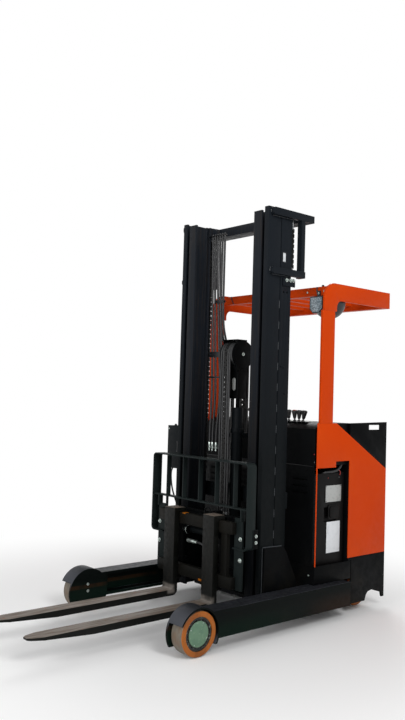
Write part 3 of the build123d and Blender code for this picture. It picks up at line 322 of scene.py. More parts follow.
class Form:
    """A mesh in the making: shapes are added to it, each with one of its materials."""

    def __init__(self, *looks):
        self.mesh = bmesh.new()
        self.looks = looks

    def box(self, low, high, look=0, bevel=0.0015):
        made = bmesh.ops.create_cube(self.mesh, size=1)["verts"]
        low, high = Vector(low), Vector(high)
        bmesh.ops.scale(self.mesh, verts=made, vec=[abs(high[i] - low[i]) for i in range(3)])
        bmesh.ops.translate(self.mesh, verts=made, vec=(low + high) / 2)
        return self.round_off(made, look, bevel)

    def round_off(self, verts, look, bevel, sharp=math.radians(50)):
        """Sets the material of the faces on some vertices, and bevels the sharp edges among them.

        The bevels' new faces have the form's first material."""
        faces = {face for vert in verts for face in vert.link_faces}
        for face in faces:
            face.material_index = look
        if bevel:
            edges = {edge for face in faces for edge in face.edges
                     if len(edge.link_faces) == 2 and edge.calc_face_angle(0) > sharp}
            bmesh.ops.bevel(self.mesh, geom=list(edges), offset=bevel, segments=2, profile=0.5,
                            affect="EDGES", clamp_overlap=True)
        return self

    def cylinder(self, start, end, radius, look=0, sides=24, bevel=0.0):
        start, end = Vector(start), Vector(end)
        way = (end - start).to_track_quat("Z", "Y").to_matrix().to_4x4()
        place = Matrix.Translation((start + end) / 2) @ way
        made = bmesh.ops.create_cone(self.mesh, cap_ends=True, segments=sides, radius1=radius, radius2=radius,
                                     depth=(end - start).length, matrix=place)["verts"]
        return self.round_off(made, look, bevel)

    def lathe(self, profile, origin, axis, sides=64, look=0):
        """Turns rows of (along the axis, radius) about an axis. A row may name its own material."""
        profile = [(*row, look)[:3] for row in profile]
        way = Vector(axis).to_track_quat("Z", "Y").to_matrix().to_4x4()
        place = Matrix.Translation(Vector(origin)) @ way
        rings = []
        for along, radius, look in profile:
            if radius <= 0:
                rings.append([self.mesh.verts.new(place @ Vector((0, 0, along)))])
                continue
            ring = []
            for n in range(sides):
                angle = 2 * math.pi * n / sides
                point = Vector((radius * math.cos(angle), radius * math.sin(angle), along))
                ring.append(self.mesh.verts.new(place @ point))
            rings.append(ring)
        for (first, second), (_, _, look) in zip(zip(rings, rings[1:]), profile):
            for n in range(sides):
                after = (n + 1) % sides
                corners = [first[n % len(first)], first[after % len(first)], second[after % len(second)],
                           second[n % len(second)]]
                corners = list(dict.fromkeys(corners))
                if len(corners) > 2:
                    self.mesh.faces.new(corners).material_index = look
        return self

    def prism(self, outline, push, look=0, bevel=0.0):
        """A flat outline of points, pushed along a vector."""
        verts = [self.mesh.verts.new(p) for p in outline]
        face = self.mesh.faces.new(verts)
        made = bmesh.ops.extrude_face_region(self.mesh, geom=[face])["geom"]
        moved = [item for item in made if isinstance(item, bmesh.types.BMVert)]
        bmesh.ops.translate(self.mesh, verts=moved, vec=push)
        faces = {f for v in verts + moved for f in v.link_faces}
        bmesh.ops.recalc_face_normals(self.mesh, faces=list(faces))
        return self.round_off(verts + moved, look, bevel)

    def tube(self, points, radius, look=0, sides=10):
        """A round tube along points, with closed ends."""
        points = [Vector(p) for p in points]
        rings = []
        side = None
        for n, point in enumerate(points):
            before = points[max(n - 1, 0)]
            after = points[min(n + 1, len(points) - 1)]
            way = (after - before).normalized()
            if side is None:
                side = way.orthogonal().normalized()
            side = (side - way * side.dot(way)).normalized()
            other = way.cross(side)
            ring = []
            for k in range(sides):
                angle = 2 * math.pi * k / sides
                spoke = side * math.cos(angle) + other * math.sin(angle)
                ring.append(self.mesh.verts.new(point + spoke * radius))
            rings.append(ring)
        for first, second in zip(rings, rings[1:]):
            for k in range(sides):
                after = (k + 1) % sides
                face = self.mesh.faces.new([first[k], first[after], second[after], second[k]])
                face.material_index = look
        for ring in (rings[0][::-1], rings[-1]):
            self.mesh.faces.new(ring).material_index = look
        return self

    def bolt(self, place, way, size, look=0):
        """A hexagon head on a washer. Size is the width across the corners."""
        base = place + way * size * 0.12
        top = base + way * size * 0.42
        self.cylinder(place, base, size * 0.72, look, 24, size * 0.03)
        self.cylinder(base, top, size / 2, look, 6, size * 0.05)
        return self.cylinder(top, top + way * size * 0.12, size * 0.24, look, 12, size * 0.03)

    def screw(self, place, way, radius, look=0):
        """A low round screw head with a socket."""
        rows = ((0, 1), (0.5, 0.92), (0.68, 0.6), (0.68, 0.38), (0.3, 0.36), (0.3, 0))
        return self.lathe([(along * radius, out * radius) for along, out in rows], place, way, 16, look)

    def make(self, name, body=None, slot=None, replaces=(), sharp=32):
        bmesh.ops.remove_doubles(self.mesh, verts=self.mesh.verts, dist=0.00001)
        bmesh.ops.recalc_face_normals(self.mesh, faces=self.mesh.faces)
        data = bpy.data.meshes.new(name)
        self.mesh.to_mesh(data)
        self.mesh.free()
        for look in self.looks:
            data.materials.append(look.material)
        data.polygons.foreach_set("use_smooth", [True] * len(data.polygons))
        data.set_sharp_from_angle(angle=math.radians(sharp))
        piece = bpy.data.objects.new(name, data)
        scene.collection.objects.link(piece)
        if body:
            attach(piece, body)
        if replaces:
            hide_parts(*replaces)
        return piece


def dress(names, look, bevel=0.002, segments=2):
    """Gives CAD nodes a material, and rounds their sharp edges."""
    for name in names.split():
        piece = nodes[name]
        data = piece.data
        data.materials.clear()
        data.materials.append(look.material)
        data.polygons.foreach_set("material_index", [0] * len(data.polygons))
        data.polygons.foreach_set("use_smooth", [True] * len(data.polygons))
        weld_points = piece.modifiers.new("weld", "WELD")
        weld_points.merge_threshold = 0.00002
        flat = piece.modifiers.new("flat", "DECIMATE")
        flat.decimate_type = "DISSOLVE"
        flat.angle_limit = math.radians(0.6)
        if bevel:
            edges = piece.modifiers.new("edges", "BEVEL")
            edges.width = bevel
            edges.segments = segments
            edges.limit_method = "ANGLE"
            edges.angle_limit = math.radians(34)
            edges.harden_normals = True


def eased(points, rounds=3):
    """A route with its corners cut smooth, its ends kept."""
    points = [Vector(p) for p in points]
    for _ in range(rounds):
        cut = [points[0]]
        for first, second in zip(points, points[1:]):
            cut += [first.lerp(second, 0.25), first.lerp(second, 0.75)]
        points = cut + [points[-1]]
    return points


hose_radius = 0.0074


def hose(form, points, radius=hose_radius, look=0, sides=12):
    """A hose or wire along points in millimetres, with its corners cut smooth."""
    form.tube(eased([at(*point) for point in points]), radius, look, sides)


def fitting(form, place, size=0.0085):
    """A crimped hose end with its hexagon nut, below a place."""
    rows = ((0, 0.028, 1, 16, 0.001), (0.028, 0.044, 1.25, 6, 0.001), (0.044, 0.058, 0.7, 12, 0))
    for start, end, part, sides, bevel in rows:
        form.cylinder(place - Z_AXIS * start, place - Z_AXIS * end, size * part, 1, sides, bevel)


def weld_bead(form, start, end, size, look=0):
    """A rippled bead from one point to another."""
    count = max(3, round((end - start).length / 0.006))
    points = [start.lerp(end, n / count) for n in range(count + 1)]
    form.tube(points, size, look, 6)
    for n in range(0, count, 2):
        form.cylinder(points[n], points[n + 1], size * 1.2, look, 6)


dress("leg_left leg_right", legs, 0.004, 3)
dress("cross_frame battery_tray platform bulkhead front_panel drive_cover", black, 0.0015)
dress("rear_wall_left rear_wall_right", black, 0.0015)
dress("hood", black, 0.002, 3)
dress("side_panel_left side_panel_right", orange, 0.001)
dress("guard_posts", orange, 0.003, 3)
dress("guard_roof", orange, 0.001, 2)
dress("outer_mast_left outer_mast_right outer_mast_ties lift_cylinders", mast_grey, 0.0025, 2)
dress("inner_mast_left inner_mast_right inner_mast_ties", greased, 0.0025, 2)
dress("free_lift_cylinder side_shift_cylinder", mast_grey, 0.0015)
dress("crosshead", black, 0.0012)
dress("reach_frame lift_carriage tilt_frame reach_cylinder", black, 0.002)
dress("caster_fork drive_gearbox drive_motor", black, 0.002)
dress("load_backrest", frame_grey, 0.0012)
dress("fork_left fork_right", forks, 0.004, 3)
dress("reach_rollers carriage_rollers load_axles", steel, 0.001)
dress("lift_rods reach_rod", chrome, 0.0005)
dress("load_hub_left load_hub_right drive_hub", cast, 0.0015)
# The battery takes the near-black painted shade
dress("battery", bay_shade_black, 0.003)
dress("steering_column", black, 0.003)
dress("floor_mat", matting, 0.002)


# Wheels

def tyre_profile(radius, inner, width, shoulder):
    """The section of a tyre, tread material 1 and sides material 0."""
    half = width / 2
    rows = [(-half + 0.002, inner, 0), (-half, inner + 0.003, 0)]
    for n in range(7):
        angle = math.pi / 2 * n / 6
        rows.append((-half + shoulder * (1 - math.cos(angle)), radius - shoulder * (1 - math.sin(angle)),
                     0 if n < 4 else 1))
    for n in range(7):
        angle = math.pi / 2 * (1 - n / 6)
        rows.append((half - shoulder * (1 - math.cos(angle)), radius - shoulder * (1 - math.sin(angle)),
                     1 if n < 2 else 0))
    rows += [(half, inner + 0.003, 0), (half - 0.002, inner, 0), (-half + 0.002, inner, 0)]
    return rows


def tyre_from(node, inner, shoulder, name, body):
    """A rounded tyre in the place of a CAD tyre."""
    low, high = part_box(node)
    centre = (low + high) / 2
    radius = (high.z - low.z) / 2
    form = Form(urethane, tread)
    form.lathe(tyre_profile(radius, inner, high.y - low.y, shoulder), centre, Y_AXIS, 96)
    return form.make(name, body, "load_tyre", [node])


load_hub_radius = 0.090
cover_radius = 0.068
for side, sign in (("left", 1), ("right", -1)):
    body = f"load_wheel_{side}"
    tyre_from(f"load_tyre_{side}", load_hub_radius, 0.008, f"tyre_{side}", body)
    low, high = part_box(f"load_hub_cover_{side}")
    face_y = high.y if sign > 0 else low.y
    centre = Vector(((low.x + high.x) / 2, face_y, (low.z + high.z) / 2))
    out = Y_AXIS * sign
    cap = Form(primer, cast, zinc)
    cap.lathe([(-0.011, cover_radius, 1), (-0.004, cover_radius), (-0.0022, cover_radius - 0.002),
               (-0.0018, cover_radius - 0.010), (-0.0006, cover_radius - 0.013), (-0.0002, 0.02),
               (-0.0002, 0)], centre, out, 72)
    for n in range(4):
        angle = math.radians(28 + 90 * n)
        spot = centre + Vector((math.cos(angle), 0, math.sin(angle))) * 0.061 - out * 0.0048
        cap.screw(spot, out, 0.0045, 2)
    cap.make(f"hub_cap_{side}", body, "hub_primer", [f"load_hub_cover_{side}"])
    ring = Form(cast)
    for n in range(10):
        angle = math.radians(36 * n + 12)
        way = Vector((math.cos(angle), 0, math.sin(angle)))
        spot = centre + way * 0.0735 - out * 0.0145
        ring.cylinder(spot, spot + out * 0.0095, 0.0055, 0, 10, 0.0008)
    ring.make(f"hub_ring_{side}", body, "cast_hub")

tyre_from("drive_tyre", 0.085, 0.008, "tyre_drive", "drive_wheel")
low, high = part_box("caster_wheels")
caster_centre = (low + high) / 2
caster_radius = (high.z - low.z) / 2
twin = Form(urethane, tread, cast)
for sign in (1, -1):
    spot = caster_centre + Y_AXIS * sign * 0.025
    twin.lathe(tyre_profile(caster_radius, 0.054, 0.042, 0.006), spot, Y_AXIS, 72)
    for out in (1, -1):
        twin.lathe([(0.019, 0.054), (0.014, 0.045), (0.012, 0.026), (0.019, 0.023), (0.019, 0.0101),
                    (0, 0.0101)], spot, Y_AXIS * out, 48, 2)
twin.lathe([(-0.005, 0.022), (0.005, 0.022)], caster_centre, Y_AXIS, 32, 2)
twin.make("caster_pair", "caster_pair", "load_tyre", ["caster_wheels"])

# Lamp and dome
lamp_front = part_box("work_lamp")[1].x
lamp_centre = at(-1046, 433, 1978)
lamp = Form(plastic, lens, zinc)


def lamp_outline(half, x, low_corner, top_corner):
    """The lamp's outline at a place along X: a square with its corners cut."""
    top, low = half - top_corner, half - low_corner
    rows = [(-half, top), (-top, half), (top, half), (half, top), (half, -low), (low, -half), (-low, -half),
            (-half, -low)]
    return [Vector((lamp_front + x, lamp_centre.y + y, lamp_centre.z + z)) for y, z in rows]


lamp.prism(lamp_outline(0.0535, -0.031, 0.026, 0.007), X_AXIS * 0.029, 0, 0.003)
lamp.prism(lamp_outline(0.0525, -0.002, 0.025, 0.006), X_AXIS * 0.0018, 0, 0.0006)
lamp.prism(lamp_outline(0.0475, -0.0015, 0.022, 0.005), X_AXIS * 0.0014, 1, 0.0004)
for n in range(6):
    z = 1940 + 15 * n
    lamp.box(at(-1081, 392, z), at(-1078, 474, z + 6), 0, 0.001)
lamp.box(at(-1080, 421, 2008), at(-1072, 445, 2070), 0, 0.0012)
lamp.bolt(at(-1072, 433, 2054), X_AXIS, 0.010, 2)
dome_centre = at(-1215, 403, 2006)
dome_radius = 0.1055
bowl = [(0.034, 0), (0.034, 0.094), (0.030, 0.098)]
for n in range(13):
    angle = math.radians(8 - 98 * n / 12)
    bowl.append((dome_radius * math.sin(angle), max(dome_radius * math.cos(angle), 0)))
lamp.lathe(bowl, dome_centre, Z_AXIS)
lamp.make("work_lamp_and_dome", "chassis", "lamp_body", ["work_lamp"])

# Hand levers
levers = Form(plastic, grip_orange, steel)
hood_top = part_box("hood")[1].z
lever_x = -1075
capped_lever = 250
for y, lean in ((199, -5), (capped_lever, -4), (287, 3), (322, 14)):
    foot = at(lever_x, y, 0)
    foot.z = hood_top
    way = Vector((0, lean * MM, 0.077)).normalized()
    levers.lathe([(0, 0.013), (0.004, 0.0125), (0.008, 0.008), (0.013, 0.0062)], foot, Z_AXIS, 20)
    levers.cylinder(foot, foot + way * 0.024, 0.0048, 2, 12)
    cap = 1 if y == capped_lever else 0
    levers.lathe([(0.017, 0.0075), (0.024, 0.0105), (0.042, 0.0140), (0.058, 0.0178), (0.066, 0.0192),
                  (0.070, 0.0186), (0.0725, 0.0165, cap), (0.0752, 0.0135, cap), (0.0762, 0.008, cap),
                  (0.0765, 0, cap)], foot, way, 20)
levers.make("hand_levers", "chassis", "black_plastic", ["control_levers"])

# Steering wheel
wheel_centre = at(-1210, -190, 1286)
wheel_radius = 0.125
rim_steps = 72
rim_sides = 16
wheel = Form(plastic, steel)
rim_ring = []
for n in range(rim_steps):
    angle = 2 * math.pi * n / rim_steps
    way = Vector((math.cos(angle), math.sin(angle), 0))
    point = wheel_centre + way * wheel_radius
    rim_ring.append([wheel.mesh.verts.new(point + (way * math.cos(b) + Z_AXIS * math.sin(b)) * 0.0102)
                     for b in [2 * math.pi * k / rim_sides for k in range(rim_sides)]])
for n in range(rim_steps):
    first, second = rim_ring[n], rim_ring[(n + 1) % rim_steps]
    for k in range(rim_sides):
        after = (k + 1) % rim_sides
        wheel.mesh.faces.new([first[k], first[after], second[after], second[k]])
for angle in (30, 150, 270):
    way = Vector((math.cos(math.radians(angle)), math.sin(math.radians(angle)), 0))
    across = Z_AXIS.cross(way)
    start = wheel_centre + way * 0.018 - Z_AXIS * 0.004
    outline = [start + across * 0.0085, start - across * 0.0085, start + way * 0.1 - across * 0.006,
               start + way * 0.1 + across * 0.006]
    wheel.prism([p - Z_AXIS * 0.003 for p in outline], Z_AXIS * 0.006, 0, 0.0014)
wheel.lathe([(-0.0166, 0), (-0.0166, 0.022), (-0.010, 0.0255), (0, 0.0255), (0.0038, 0.0225),
             (0.0038, 0)], wheel_centre, Z_AXIS, 32)
wheel.lathe([(0.006, 0.0068, 1), (0.0215, 0.0068), (0.023, 0.011), (0.029, 0.0155), (0.037, 0.0168),
             (0.045, 0.0148), (0.0505, 0.008), (0.0518, 0)], wheel_centre - X_AXIS * wheel_radius, Z_AXIS, 28)
wheel.make("steering_wheel_rim", "steering", "black_plastic", ["steering_wheel"])


# Lift chain, link by link

def link_plate(form, centre, way, across, length, height, thickness):
    """One plate of a leaf chain: an oval with its thickness across."""
    side = across.cross(way).normalized()
    outline = []
    for end in (1, -1):
        for n in range(5):
            angle = -math.pi / 2 + math.pi * n / 4
            outline.append(centre + way * end * (length / 2 + math.cos(angle) * height / 2)
                           + side * end * math.sin(angle) * height / 2 - across * thickness / 2)
    form.prism(outline, across * thickness)


def leaf_chain(form, points, across, width=0.024, pitch=0.0159, height=0.0115):
    """Leaf chain along points that are a pitch apart."""
    plates = 4
    step = width / plates
    for n, (first, second) in enumerate(zip(points, points[1:])):
        way = (second - first).normalized()
        shift = 0.25 if n % 2 else -0.25
        for k in range(plates):
            if (k + n) % 2:
                continue
            spot = (first + second) / 2 + across * (k - (plates - 1) / 2) * step
            link_plate(form, spot + across * shift * step, way, across, pitch, height, step * 0.9)
        form.cylinder(first - across * width / 2, first + across * width / 2, 0.0028, 0, 8)


def strand(start, end, pitch=0.0159):
    count = max(2, round((end - start).length / pitch))
    return [start.lerp(end, n / count) for n in range(count + 1)]


sheave_x, chain_y, sheave_z = -800, -40, 1650
sheave_centre = at(sheave_x, chain_y, sheave_z)
chain_run = 0.086
front_top = sheave_centre + X_AXIS * chain_run
rear_top = sheave_centre - X_AXIS * chain_run
front_strand = Form(oily, steel)
leaf_chain(front_strand, strand(Vector((front_top.x, front_top.y, 0.642)), front_top), Y_AXIS)
front_strand.cylinder((front_top.x, front_top.y, 0.600), (front_top.x, front_top.y, 0.646), 0.006, 1, 12)
front_strand = front_strand.make("lift_chain_front", "crosshead", "chain_steel", ["lift_chain"])
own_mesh(front_strand)
wrap = Form(oily, steel)
turns = 16
leaf_chain(wrap, [sheave_centre + Vector((math.cos(a), 0, math.sin(a))) * chain_run
                  for a in [math.pi * n / turns for n in range(turns + 1)]], Y_AXIS)
wrap.make("lift_chain_wrap", "crosshead", "chain_steel")
rear_strand = Form(oily, steel)
rear_low = Vector((rear_top.x, rear_top.y, 1.138))
leaf_chain(rear_strand, strand(rear_low, rear_top), Y_AXIS)
rear_strand = rear_strand.make("lift_chain_rear", None, "chain_steel")
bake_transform(rear_strand)

# Fork bars, ending at the backrest's plates, with their uprights and slide hooks
fork_bars = Form(bar_paint)
bar_half = 350
for z in (235, 558):
    fork_bars.box(at(-478, -bar_half, z), at(-443, bar_half, z + 70), 0, 0.002)
for sign in (1, -1):
    fork_bars.box(at(-477, 250 * sign, 240), at(-449, 300 * sign, 620), 0, 0.002)
    for low_z, high_z in ((558, 606), (245, 305)):
        fork_bars.box(at(-504, 250 * sign, low_z), at(-476, 290 * sign, high_z), 0, 0.001)
fork_bars.make("fork_bars_dressed", "fork_carriage", "black_paint", ["fork_bars"])

# Bolts on the backrest
bolts = Form(zinc)
for sign in (1, -1):
    for z in (534, 410):
        bolts.bolt(at(-478, 386 * sign, z), X_AXIS, 0.018)
bolts.make("backrest_bolts", "fork_carriage", "roller_steel")

# Hoses held in the mast
mast_hoses = Form(rubber, zinc, plastic)
x = -752
for top_y, middle_y, crossing_y, low_y in ((-246, -226, -217, -224), (-222, -198, -180, -194),
                                           (-198, -162, -136, -158), (-174, -136, -118, -124)):
    hose(mast_hoses, [(x, top_y, 2476), (x, top_y, 2300), (x, middle_y, 1800), (x, crossing_y, 1480),
                      (x, crossing_y, 1330), (x, low_y, 1140), (x, low_y, 1062)], 0.0078)
    fitting(mast_hoses, at(x, low_y, 1064))
for y, back_y in ((-150, -149), (-126, -131)):
    hose(mast_hoses, [(x, y, 2476), (x, y, 2200), (x, y, 1870), (-790, y, 1740), (-840, back_y, 1600),
                      (-875, back_y, 1480), (-875, back_y, 1000), (-875, back_y, 702)])
for z, tall, back_low_y, high_y in ((2010, 9, -200, -115), (1653, 18, -268, -115), (1500, 5, -268, -130)):
    front_low_y = max(back_low_y, -234)
    mast_hoses.box(at(-763, back_low_y, z - tall), at(-759.5, high_y, z + tall), 2, 0.001)
    mast_hoses.box(at(-744, front_low_y, z - tall), at(-739.5, high_y, z + tall), 2, 0.0015)
    for y in (front_low_y + 8, high_y - 8):
        mast_hoses.screw(at(-739.5, y, z), X_AXIS, 0.004, 0)
mast_hoses.box(at(-764, -277, 2462), at(-740, -112, 2468), 2, 0.001)
mast_hoses.make("mast_hoses_dressed", "inner_mast", "black_plastic", ["mast_hoses"])

# Drums for the carriage's hoses on both sides of the chain sheave
hose_ys = (-86, -66, -21, -5)
hose_run = 84.6
front_x, rear_x = sheave_x + hose_run, sheave_x - hose_run
pulley = Form(plastic, rubber)
steps = ((-99, 14.1), (-99, 92), (-96, 92), (-96, 77), (-57, 77), (-57, 92), (-53, 92), (-53, 80), (-27, 80),
         (-27, 92), (-24.5, 92), (-24.5, 77), (5, 77), (5, 92), (20, 92), (20, 14.1))
pulley.lathe([(y * MM, radius * MM) for y, radius in steps], at(sheave_x, 0, sheave_z), Y_AXIS, 56)
for y in hose_ys:
    pulley.tube([at(sheave_x + hose_run * math.cos(a), y, sheave_z + hose_run * math.sin(a))
                 for a in [math.pi * n / 22 for n in range(23)]], hose_radius, 1, 12)
pulley.make("sheave_and_drums", "crosshead", "black_plastic", ["chain_sheave"])
front_hoses = Form(rubber, steel)
for y, low_y in zip(hose_ys, (-82, -60, -20, 2)):
    hose(front_hoses, [(front_x, y, sheave_z), (front_x, y, 1400), (front_x, low_y, 860),
                       (front_x, low_y, 620)])
    fitting(front_hoses, at(front_x, low_y, 624))
front_hoses = front_hoses.make("carriage_hoses_front", "crosshead", "black_plastic")
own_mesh(front_hoses)
rear_hoses = Form(rubber)
rear_start_z = 1137
for y in hose_ys:
    rear_hoses.tube([at(rear_x, y, z) for z in range(rear_start_z, 1651, 19)], hose_radius, 0, 12)
rear_hoses = rear_hoses.make("carriage_hoses_rear", None, "black_plastic")
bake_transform(rear_hoses)

# Disc, bolts and the pale inlay on the crosshead
head_trim = Form(black, zinc, plate)
head_trim.lathe([(0.0001, 0), (0.0001, 0.091), (0.0022, 0.0915), (0.003, 0.090), (0.003, 0)],
                at(sheave_x, 32, sheave_z), Y_AXIS)
head_trim.bolt(at(sheave_x + 4, 35, sheave_z + 3), Y_AXIS, 0.016, 1)
head_trim.bolt(at(sheave_x, -108, sheave_z), -Y_AXIS, 0.026, 1)
inlay_low, inlay_high = 1430, 1480
for z in (inlay_high, inlay_low):
    head_trim.cylinder(at(-756, 0, z), at(-753.5, 0, z), 0.0168, 2, 24)
head_trim.box(at(-756, -16.8, inlay_low), at(-753.4, 16.8, inlay_high), 2, 0)
head_trim.box(at(-752, -98, 1551), at(-746, 23, 1568), 0, 0.001)
head_trim.make("crosshead_trim", "crosshead", "black_paint")

# Long chains of the lift cylinders
far_chain = Form(oily, steel)
leaf_chain(far_chain, strand(at(-780, -291, 868), at(-780, -291, 2440)), Y_AXIS, 0.02)
far_chain.cylinder(at(-780, -291, 2438), at(-780, -291, 2492), 0.006, 1, 12)
far_chain.make("mast_chain_far", "inner_mast", "chain_steel")
near_chain = Form(oily, steel)
leaf_chain(near_chain, strand(at(-862, 388, 2196), at(-862, 388, 2440)), X_AXIS, 0.018)
for low, high in ((at(-862, 388, 2150), at(-862, 388, 2198)), (at(-862, 388, 2438), at(-862, 388, 2500))):
    near_chain.cylinder(low, high, 0.0055, 1, 12)
near_chain.make("mast_chain_near", "reach_carriage", "chain_steel")

# Bracket, welds and bolts on the mast
column_face = 408
mast_trim = Form(mast_grey, zinc, weld, steel, card)
for sign in (1, -1):
    face = column_face * sign
    mast_trim.box(at(-866, face, 2068), at(-757, face + 9 * sign, 2118), 0, 0.003)
    for x, z in ((-786, 2106), (-821, 2108), (-846, 2109)):
        mast_trim.bolt(at(x, face + 9 * sign, z), Y_AXIS * sign, 0.017, 1)
    seam_x, seam_y = -736, face - 3.2 * sign
    for n in range(12):
        z = 520 + n * 128
        weld_bead(mast_trim, at(seam_x, seam_y, z), at(seam_x, seam_y, z + 46), 0.0026, 2)
    y = face + 1.5 * sign
    weld_bead(mast_trim, at(-642, y, 472), at(-804, y, 467), 0.0038, 2)
    weld_bead(mast_trim, at(-641, face + sign, 110), at(-641, face + sign, 470), 0.0028, 2)
    for low_z, high_z in ((2496, 2541), (2132, 2173)):
        for z in (low_z - 0.5, high_z + 0.5):
            weld_bead(mast_trim, at(-658, face + 0.8 * sign, z), at(-830, face + 0.8 * sign, z), 0.0032, 2)
        for x, start_z, end_z in ((-641, 16, 29), (-646, 6, 12), (-646, 33, 39)):
            weld_bead(mast_trim, at(x, y, low_z + start_z), at(x, y, low_z + end_z), 0.004, 2)
    for x, z in ((-763, 1567), (-786, 1562), (-800, 1400), (-800, 980)):
        mast_trim.screw(at(x, face, z), Y_AXIS * sign, 0.007, 0)
for z in (2440, 2350, 2100):
    mast_trim.box(at(-648, -column_face, z - 14), at(-636, -414, z + 14), 0, 0.002)
mast_trim.box(at(-782, column_face, 2217), at(-754, 409.2, 2277), 3, 0.0005)
mast_trim.box(at(-779, 409, 2221), at(-757, 409.6, 2273), 4, 0.0003)
mast_trim.make("mast_trim", "reach_carriage", "mast_paint")

# Battery bay behind the openings in both side panels
battery_face = 500
# The rounded insets in the openings take the first material, the near-black painted shade
bay = Form(bay_shade_black, plate, card, rubber, red_wire, steel)
for sign in (1, -1):
    face = battery_face * sign
    bay.box(at(-1255, face, 722), at(-1102, face + 3 * sign, 828), 1, 0.001)
    for x in (-1248, -1109):
        for z in (729, 821):
            bay.screw(at(x, face + 3 * sign, z), Y_AXIS * sign, 0.0035, 5)
    for x, z, wide, high, corner, start, deep, bevel in ((-1242, 612, 114, 94, 10, 0, 5, 0.002),
                                                         (-1230, 622, 90, 72, 12, 4, 7, 0.003)):
        outline = ((corner, 0), (wide - corner, 0), (wide, corner), (wide, high - corner),
                   (wide - corner, high), (corner, high), (0, high - corner), (0, corner))
        bay.prism([at(x + right, face + start * sign, z + up) for right, up in outline],
                  Y_AXIS * deep * MM * sign, 0, bevel)
    bay.box(at(-1250, face, 402), at(-1119, face + 1.2 * sign, 598), 2, 0.0004)
    for x, look in ((-1127, 4), (-1234, 5)):
        bay.screw(at(x, face, 875), Y_AXIS * sign, 0.003, look)
    hose(bay, [(-1085, 480 * sign, 900), (-1105, 496 * sign, 913), (-1160, 508 * sign, 914),
               (-1205, 510 * sign, 922), (-1240, 508 * sign, 946), (-1252, 500 * sign, 962),
               (-1258, 470 * sign, 966)], 0.0085, 3, 14)
    hose(bay, [(-1222, 494 * sign, 930), (-1232, 506 * sign, 918), (-1240, 507 * sign, 905),
               (-1240, 500 * sign, 890)], 0.003, 4, 8)
bay.make("battery_bay_fittings", "chassis", "black_plastic")

# Screws and slats of the front panel, and the hood's seam
face_x = -975
body_trim = Form(zinc, black, plastic, red_wire, steel)
for sign in (1, -1):
    for y, z, size, look in ((511, 1029, 4, 3), (513, 980, 4, 4), (486, 280, 6, 0)):
        body_trim.screw(at(face_x, y * sign, z), X_AXIS, size * MM, look)
    for z in (925, 385):
        body_trim.screw(at(face_x, 450 * sign, z), X_AXIS, 0.006, 1)
    for z in (867, 825, 785):
        y = 395 * sign - 58
        body_trim.prism([at(face_x, y, z + 5), at(face_x + 7, y + 2, z + 3), at(face_x, y, z - 2)],
                        Vector((0, 0.116, 0)), 1)
body_trim.box(at(face_x - 0.5, -512, 952), at(face_x + 0.8, 512, 955), 2, 0)
body_trim.make("body_screws", "chassis", "black_paint")

# Lever plate, and small parts and wires of the front beam
top_trim = Form(plastic, rubber, zinc, black)
top_trim.box(at(-1110, 190, 1223), at(-1040, 381, 1226), 0, 0.001)
for x in (-1103, -1047):
    for y in (197, 374):
        top_trim.screw(at(x, y, 1226), Z_AXIS, 0.004, 2)
top_trim.lathe([(0, 0.006), (0.004, 0.0085), (0.009, 0.008), (0.012, 0)], at(-1088, 454, 2097), Z_AXIS, 16, 3)
for y in (330, 470):
    top_trim.bolt(at(-1080, y, 2067), X_AXIS, 0.009, 2)
hose(top_trim, [(-1078, 414, 2096), (-1074, 414, 2080), (-1074, 420, 2050), (-1076, 425, 2032)], 0.0035, 1, 8)
hose(top_trim, [(-1078, -399, 2096), (-1076, -394, 2080), (-1076, -380, 2055), (-1079, -372, 2040)],
     0.003, 1, 8)
top_trim.make("top_trim", "chassis", "black_plastic")

# Locking loop on the left fork
loop = [at(-459, y, z) for y, z in ((84, 644), (84, 668), (92, 683), (110, 689), (126, 683), (133, 668),
                                    (133, 644))]
locking_loop = Form(black)
locking_loop.tube([at(-459, 142, 641), at(-459, 88, 641)] + eased(loop) + [at(-459, 142, 643)], 0.0052, 0, 12)
locking_loop.make("fork_locking_loop", "fork_left", "black_plastic")

# Plates, bolts and hoses of the fork carriage
carriage_trim = Form(frame_grey, zinc, black)
for sign in (1, -1):
    carriage_trim.box(at(-548, 454 * sign, 484), at(-510, 460 * sign, 596), 2, 0.0015)
    for z in (558, 521):
        carriage_trim.bolt(at(-532, 460 * sign, z), Y_AXIS * sign, 0.015, 1)
carriage_trim.make("fork_carriage_trim", "fork_carriage", "black_paint")
shift_trim = Form(zinc, rubber, black)
for start_y, end_y in ((-110, -96), (96, 110)):
    shift_trim.cylinder(at(-483, start_y, 520), at(-483, end_y, 520), 0.026, 2, 24, 0.002)
for start_y, end_y, radius, sides, bevel in ((-104, -88, 0.0135, 6, 0.001), (-90, -36, 0.0125, 16, 0.001),
                                             (-38, -14, 0.0105, 6, 0.001)):
    shift_trim.cylinder(at(-486, start_y, 452), at(-486, end_y, 452), radius, 0, sides, bevel)
hose(shift_trim, [(-486, -16, 452), (-486, 10, 452), (-488, 40, 446), (-494, 80, 420), (-506, 120, 390),
                  (-514, 130, 352)], 0.0078, 1)
shift_trim.make("side_shift_hoses", "tilt_frame", "black_plastic")

# Narrow cover beside the far column: a box above, and below it only the front strip of an open window
side_cover = Form(mast_grey)
back_x, front_x = -716, -626
outer_y, inner_y = -518, -column_face
low_z, high_z = 872, 1162
for low, high in (((back_x, outer_y, low_z), (front_x, outer_y + 3, high_z)),
                  ((front_x - 3, outer_y, low_z), (front_x, inner_y, high_z)),
                  ((back_x, outer_y, high_z - 3), (front_x, inner_y, high_z)),
                  ((back_x, outer_y, low_z), (front_x, inner_y, low_z + 3)),
                  ((back_x, inner_y - 2, low_z), (front_x, inner_y, high_z)),
                  ((front_x - 3, outer_y, 560), (front_x, outer_y + 26, low_z + 3))):
    side_cover.box(at(*low), at(*high), 0, 0.0008)
side_cover.make("mast_side_cover_dressed", "reach_carriage", "black_paint", ["mast_side_cover"])

